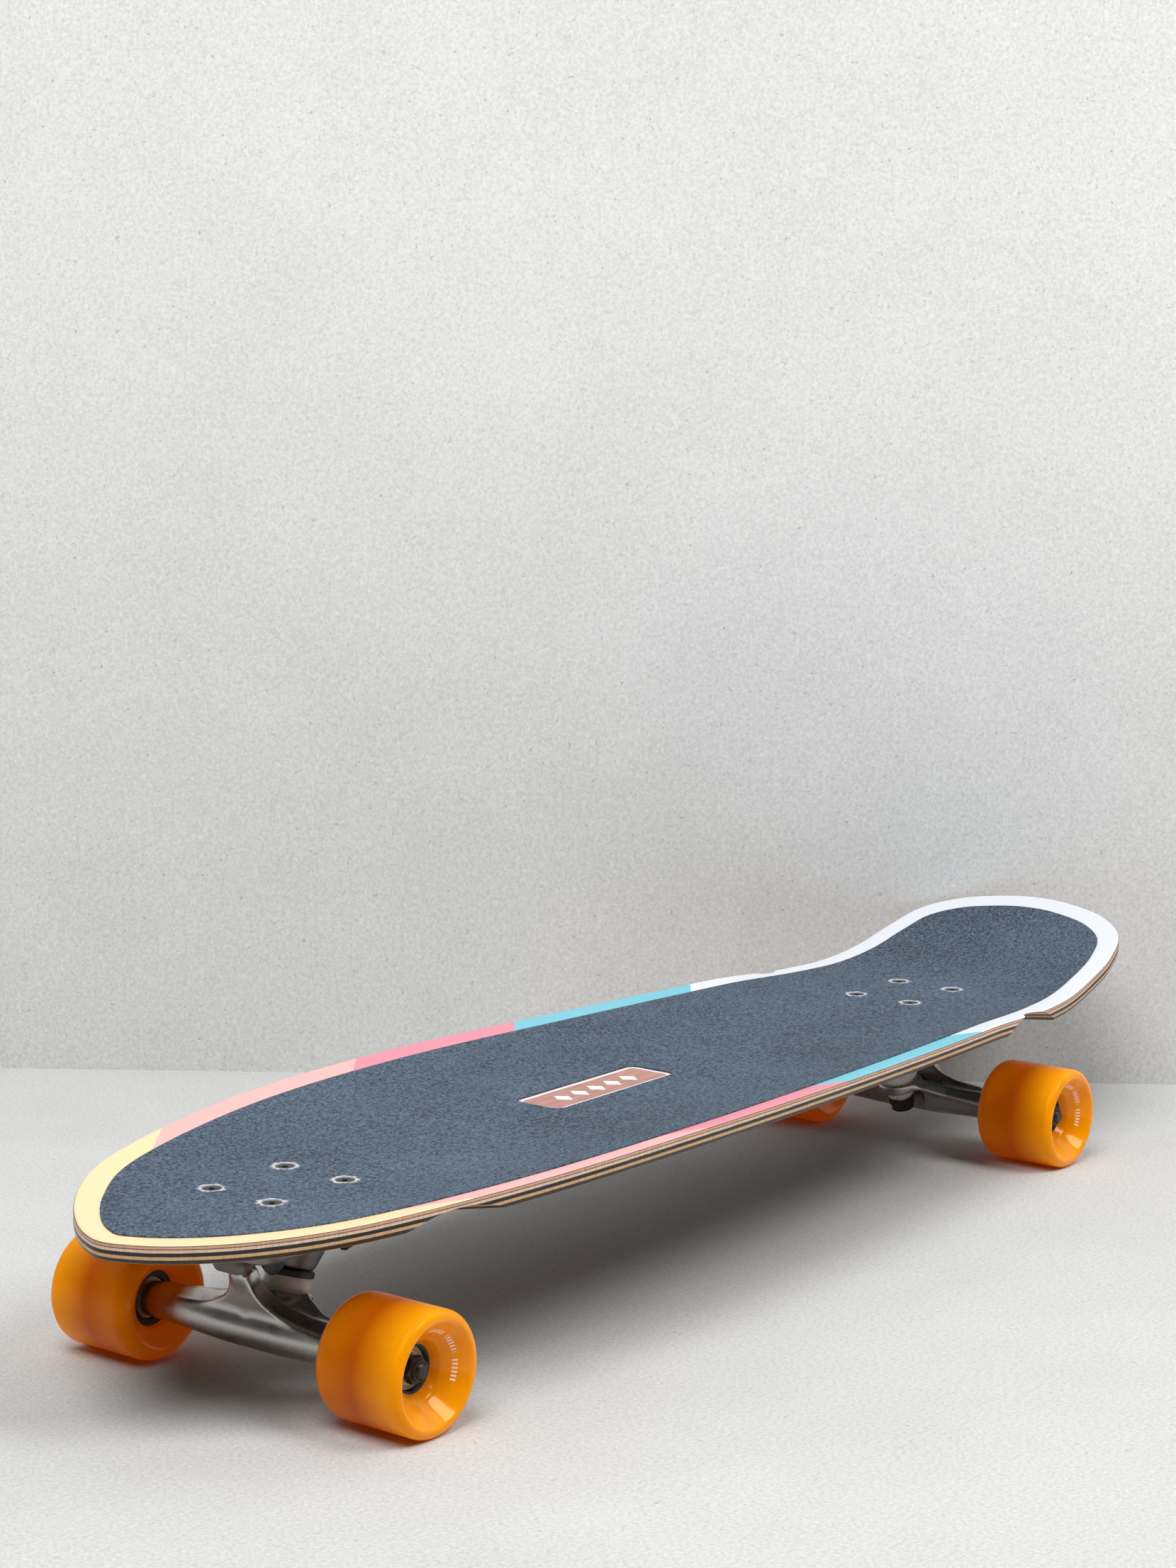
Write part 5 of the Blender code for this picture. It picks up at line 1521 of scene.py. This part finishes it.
def core_profile():
    """Outline of the hard core with its two bearing seats."""
    seat = BEARING_RADIUS + SNUG
    ridge_low = INNER_BEARING_Y + BEARING_WIDTH + GAP - WHEEL_Y
    ridge_high = OUTER_BEARING_Y - GAP - WHEEL_Y
    outside = HUB_RADIUS - 2 * SNUG
    return filleted([(outside, HUB_HIGH - 0.0006), (outside, HUB_LOW, 0.0004),
                     (seat + SNUG, HUB_LOW, 0.0003), (seat, ridge_low),
                     (HUB_RIDGE_RADIUS, ridge_low, 0.0002), (HUB_RIDGE_RADIUS, ridge_high, 0.0002),
                     (seat, ridge_high), (seat, HUB_HIGH, 0.0003), (0.0125, HUB_HIGH, 0.0003),
                     (0.0126, HUB_HIGH - 0.0006)])


def bearing_mesh(metal):
    """Outer race and pressed shields of a bearing. Height 0 is its lower face."""
    race = filleted([(BEARING_RADIUS, BEARING_WIDTH, 0.0004), (BEARING_RADIUS, 0.0, 0.0004),
                     (RACE_BORE, 0.0, 0.0002), (RACE_BORE, BEARING_WIDTH, 0.0002)])
    parts = [(turned(race, WIDE_RING_STEPS, ring=True), metal)]
    for outer, inward in ((BEARING_WIDTH, -1), (0.0, 1)):
        face = outer + inward * SHIELD_SINK
        line = [(radius, face + inward * sunk) for radius, sunk in SHIELD_PROFILE]
        back = [(radius, height + inward * SHIELD_THICKNESS) for radius, height in reversed(line)]
        parts.append((turned(line + back, WIDE_RING_STEPS, ring=True), metal))
    return joined(parts)


def soft_ring(radius, low, high, edge, bore):
    """A ring with softened outer edges."""
    return tube(filleted([(bore, high), (radius, high, edge), (radius, low, edge), (bore, low)])[1:-1],
                bore, RING_STEPS)


def sleeve_mesh(steel):
    """What the axle nut clamps: spacer, both inner races and both washers."""
    bore = AXLE_RADIUS + SNUG
    bearings = (INNER_BEARING_Y, OUTER_BEARING_Y)
    washers = (INNER_BEARING_Y - WASHER_THICKNESS, OUTER_BEARING_Y + BEARING_WIDTH)
    parts = [soft_ring(RACE_RADIUS, low, low + BEARING_WIDTH, 0.0003, bore) for low in bearings]
    parts.append(tube([(SPACER_RADIUS, OUTER_BEARING_Y), (SPACER_RADIUS, INNER_BEARING_Y + BEARING_WIDTH)],
                      bore, ROD_STEPS))
    parts += [soft_ring(WASHER_RADIUS, low, low + WASHER_THICKNESS, 0.0002, bore) for low in washers]
    return joined([(mesh, steel) for mesh in parts])


class LONGBOARD_OT_wheels(bpy.types.Operator):
    """Cast the soft wheels on their cores and press in the bearings"""

    bl_idname = "longboard.add_wheels"
    bl_label = "Wheels and bearings"

    def execute(self, context):
        look = context.scene.longboard_wheels
        amber = urethane_material()
        steel, _, nylon = fastener_finishes()
        shield = metal_material("bearing_shield", tone(200, 178, 146), roughness=0.5, grain=600,
                                depth=0.00002, metallic=0.7)
        wheel = joined([(turned(tyre_profile(), look.steps, ring=True), amber),
                        (turned(core_profile(), look.steps, ring=True), nylon)])
        bearing = bearing_mesh(shield)
        sleeve = sleeve_mesh(steel)
        for end in ENDS:
            for side in SIDES:
                place = wheel_frame(end, side)
                corner = f"{end}_{side}"
                body = f"{corner}_rolling"
                add_piece(f"{corner}_tyre", wheel, place @ Matrix.Translation((0, 0, WHEEL_Y)), body,
                          [f"{corner}_wheel"], sharp_angle=35)
                for which, start in (("inner", INNER_BEARING_Y), ("outer", OUTER_BEARING_Y)):
                    add_piece(f"{corner}_{which}_race", bearing, place @ Matrix.Translation((0, 0, start)),
                              body, [f"{corner}_{which}_bearing"])
                add_piece(f"{corner}_clamped_sleeve", sleeve, place, f"{end}_truck_hanger",
                          [f"{corner}_bearing_spacer"])
        return {"FINISHED"}


# Fasteners


def deck_bolt_mesh(black):
    """A countersunk bolt with a six-sided recess."""
    side = rod_rows(BOLT_RADIUS, BOLT_TIP + BOLT_CHAMFER, BOLT_TIP + BOLT_THREAD)
    head = filleted([(0.0, BOLT_TOP), (BOLT_HEAD_RADIUS, BOLT_TOP, BOLT_EDGE),
                     (BOLT_HEAD_RADIUS, BOLT_TOP - GAP), (BOLT_RADIUS, BOLT_TOP - BOLT_HEAD_DEPTH)])
    blank = turned(head + side + [(BOLT_RADIUS - BOLT_CHAMFER, BOLT_TIP), (0.0, BOLT_TIP)], ROD_STEPS)
    bolt = boolean(blank, [hexagon(KEY_FLATS, BOLT_TOP - KEY_DEPTH, BOLT_TOP + 0.001)])
    return pressed(bolt, BOLT_TIP - 0.001, BOLT_TIP + BOLT_THREAD - 0.0002, BOLT_RADIUS, black)


def axle_mesh(steel, black):
    """A rod with black threads at both ends."""
    start = OUTER_BEARING_Y + BEARING_WIDTH
    high_rows = rod_rows(AXLE_RADIUS, start, AXLE_HALF - TIP_CHAMFER)
    low_rows = [(radius, -height) for radius, height in reversed(high_rows)]
    tip = AXLE_RADIUS - TIP_CHAMFER
    axle = turned([(0.0, AXLE_HALF), (tip, AXLE_HALF), *high_rows, *low_rows, (tip, -AXLE_HALF),
                   (0.0, -AXLE_HALF)], ROD_STEPS)
    axle = pressed(axle, start, AXLE_HALF + 0.001, AXLE_RADIUS, steel)
    axle = pressed(axle, -AXLE_HALF - 0.001, -start, AXLE_RADIUS, steel)
    axle.materials.clear()
    axle.materials.append(steel)
    axle.materials.append(black)
    for face in axle.polygons:
        face.material_index = int(abs(face.center.z) > start)
    return axle


class LONGBOARD_OT_fasteners(bpy.types.Operator):
    """Fit the axles with their nuts, and the bolts and nuts that hold the trucks"""

    bl_idname = "longboard.add_fasteners"
    bl_label = "Axles, bolts and nuts"

    def execute(self, context):
        steel, black, nylon = fastener_finishes()
        axle = axle_mesh(steel, black)
        facing_in = Matrix.Translation((0, 0, AXLE_NUT_Y)) @ Matrix.Rotation(math.pi, 4, "X")
        axle_nut = placed(nut_mesh(AXLE_NUT_FLATS, AXLE_NUT_HEIGHT, AXLE_RADIUS + SNUG, black, nylon),
                          facing_in)
        deck_nut = placed(nut_mesh(DECK_NUT_FLATS, DECK_NUT_HEIGHT, BOLT_RADIUS + SNUG, black, nylon),
                          Matrix.Translation((0, 0, DECK_NUT_TOP)))
        bolts = run_tree(TREES["pattern"], deck_bolt_mesh(black), {"Material": black})
        nuts = run_tree(TREES["pattern"], deck_nut, {"Material": black})
        for end in ENDS:
            place = truck_frame(end)
            add_piece(f"{end}_axle_rod", axle, place @ AXLE, f"{end}_truck_hanger",
                      [f"{end}_axle"])
            for kind, mesh in (("bolt", bolts), ("nut", nuts)):
                add_piece(f"{end}_deck_{kind}s", mesh, place, "board",
                          [f"{end}_deck_{kind}_{number}" for number in range(1, 5)], black)
            for side in SIDES:
                add_piece(f"{end}_{side}_axle_lock_nut", axle_nut, wheel_frame(end, side),
                          f"{end}_truck_hanger", [f"{end}_{side}_axle_nut"])
        return {"FINISHED"}


# Stage


def plane_mesh(width, depth):
    bm = bmesh.new()
    bmesh.ops.create_grid(bm, x_segments=1, y_segments=1, size=0.5)
    bmesh.ops.scale(bm, vec=(width, depth, 1.0), verts=bm.verts)
    return mesh_from(bm)


def add_stage_piece(name, mesh, material):
    mesh.materials.append(material)
    linked(name, mesh)


def add_camera():
    forward = Vector((-math.cos(CAMERA_YAW) * math.cos(CAMERA_PITCH),
                      -math.sin(CAMERA_YAW) * math.cos(CAMERA_PITCH), -math.sin(CAMERA_PITCH)))
    level = forward.cross(Vector((0, 0, 1))).normalized()
    upright = level.cross(forward)
    right = math.cos(CAMERA_ROLL) * level + math.sin(CAMERA_ROLL) * upright
    up = math.cos(CAMERA_ROLL) * upright - math.sin(CAMERA_ROLL) * level
    data = bpy.data.cameras.new("camera")
    data.sensor_width = SENSOR
    data.lens = PHOTO_FOCAL * SENSOR / PHOTO_HEIGHT
    camera = linked("camera", data)
    turn = Matrix((right, up, -forward)).transposed().to_4x4()
    camera.matrix_world = Matrix.Translation(CAMERA_PLACE) @ turn
    bpy.context.scene.camera = camera


def add_lamp(name, place, size, power):
    data = bpy.data.lights.new(name, "AREA")
    data.shape = "DISK"
    data.size = size
    data.energy = power
    lamp = linked(name, data)
    lamp.location = place
    lamp.rotation_euler = (LAMP_TARGET - place).to_track_quat("-Z", "Y").to_euler()


def light_world(fill):
    """Even light from all round."""
    world = bpy.data.worlds.new("studio")
    world.use_nodes = True
    background = world.node_tree.nodes["Background"]
    background.inputs["Strength"].default_value = fill
    background.inputs["Color"].default_value = (1.0, 1.0, 1.0, 1.0)
    bpy.context.scene.world = world


class LONGBOARD_OT_stage(bpy.types.Operator):
    """Set the floor, wall, lamps and camera"""

    bl_idname = "longboard.add_stage"
    bl_label = "Stage"

    def execute(self, context):
        look = context.scene.longboard_stage
        floor = plane_mesh(FLOOR_SIZE, FLOOR_SIZE)
        add_stage_piece("floor", floor, stage_material("matt_floor", look.floor))
        upward = Vector((0, 0, 1))
        facing = Matrix((upward.cross(WALL_NORMAL), upward, WALL_NORMAL)).transposed().to_4x4()
        middle = Matrix.Translation(WALL_HEIGHT / 2 * upward - look.wall_distance * WALL_NORMAL)
        wall = placed(plane_mesh(FLOOR_SIZE, WALL_HEIGHT), middle @ facing)
        # The wall carries painted shade near the floor
        add_stage_piece("wall", wall, stage_material("matt_wall", look.wall, 0.0))
        add_lamp("key", KEY_PLACE, KEY_SIZE, look.key_power)
        add_lamp("front", FRONT_PLACE, FRONT_SIZE, look.front_power)
        light_world(look.fill)
        add_camera()
        context.scene.view_settings.view_transform = "Standard"
        return {"FINISHED"}


class LONGBOARD_PT_panel(bpy.types.Panel):
    """Lists the longboard's pieces"""

    bl_idname = "LONGBOARD_PT_panel"
    bl_label = "Longboard"
    bl_space_type = "VIEW_3D"
    bl_region_type = "UI"
    bl_category = "Longboard"

    def draw(self, context):
        for operator in OPERATORS:
            self.layout.operator(operator.bl_idname)


SETTINGS = {
    "longboard_deck": DeckSettings,
    "longboard_trucks": TruckSettings,
    "longboard_wheels": WheelSettings,
    "longboard_fasteners": FastenerSettings,
    "longboard_stage": StageSettings,
}
OPERATORS = [
    LONGBOARD_OT_deck,
    LONGBOARD_OT_grip,
    LONGBOARD_OT_castings,
    LONGBOARD_OT_steering,
    LONGBOARD_OT_wheels,
    LONGBOARD_OT_fasteners,
    LONGBOARD_OT_stage,
]
TREES = {}


def register():
    for kind in [*SETTINGS.values(), *OPERATORS, LONGBOARD_PT_panel]:
        bpy.utils.register_class(kind)
    for name, settings in SETTINGS.items():
        setattr(bpy.types.Scene, name, PointerProperty(type=settings))


def unregister():
    for name in SETTINGS:
        delattr(bpy.types.Scene, name)
    for kind in [LONGBOARD_PT_panel, *reversed(OPERATORS), *reversed(SETTINGS.values())]:
        bpy.utils.unregister_class(kind)


def main():
    register()
    TREES.update(lathe=lathe_tree(), pattern=pattern_tree(), thread=thread_tree())
    look = bpy.context.scene.longboard_fasteners
    metal_material("bright_steel", look.steel, roughness=0.24, grain=900, depth=0.00003)
    metal_material("black_steel", look.black, roughness=0.24, grain=1100, depth=0.00002, metallic=0.5)
    dull_material("black_nylon", tone(30, 30, 31), roughness=0.45, grain=1300, depth=0.00004)
    bpy.ops.longboard.add_deck()
    bpy.ops.longboard.add_grip()
    bpy.ops.longboard.add_castings()
    bpy.ops.longboard.add_steering()
    bpy.ops.longboard.add_wheels()
    bpy.ops.longboard.add_fasteners()
    bpy.ops.longboard.add_stage()


if __name__ == "__main__":
    main()
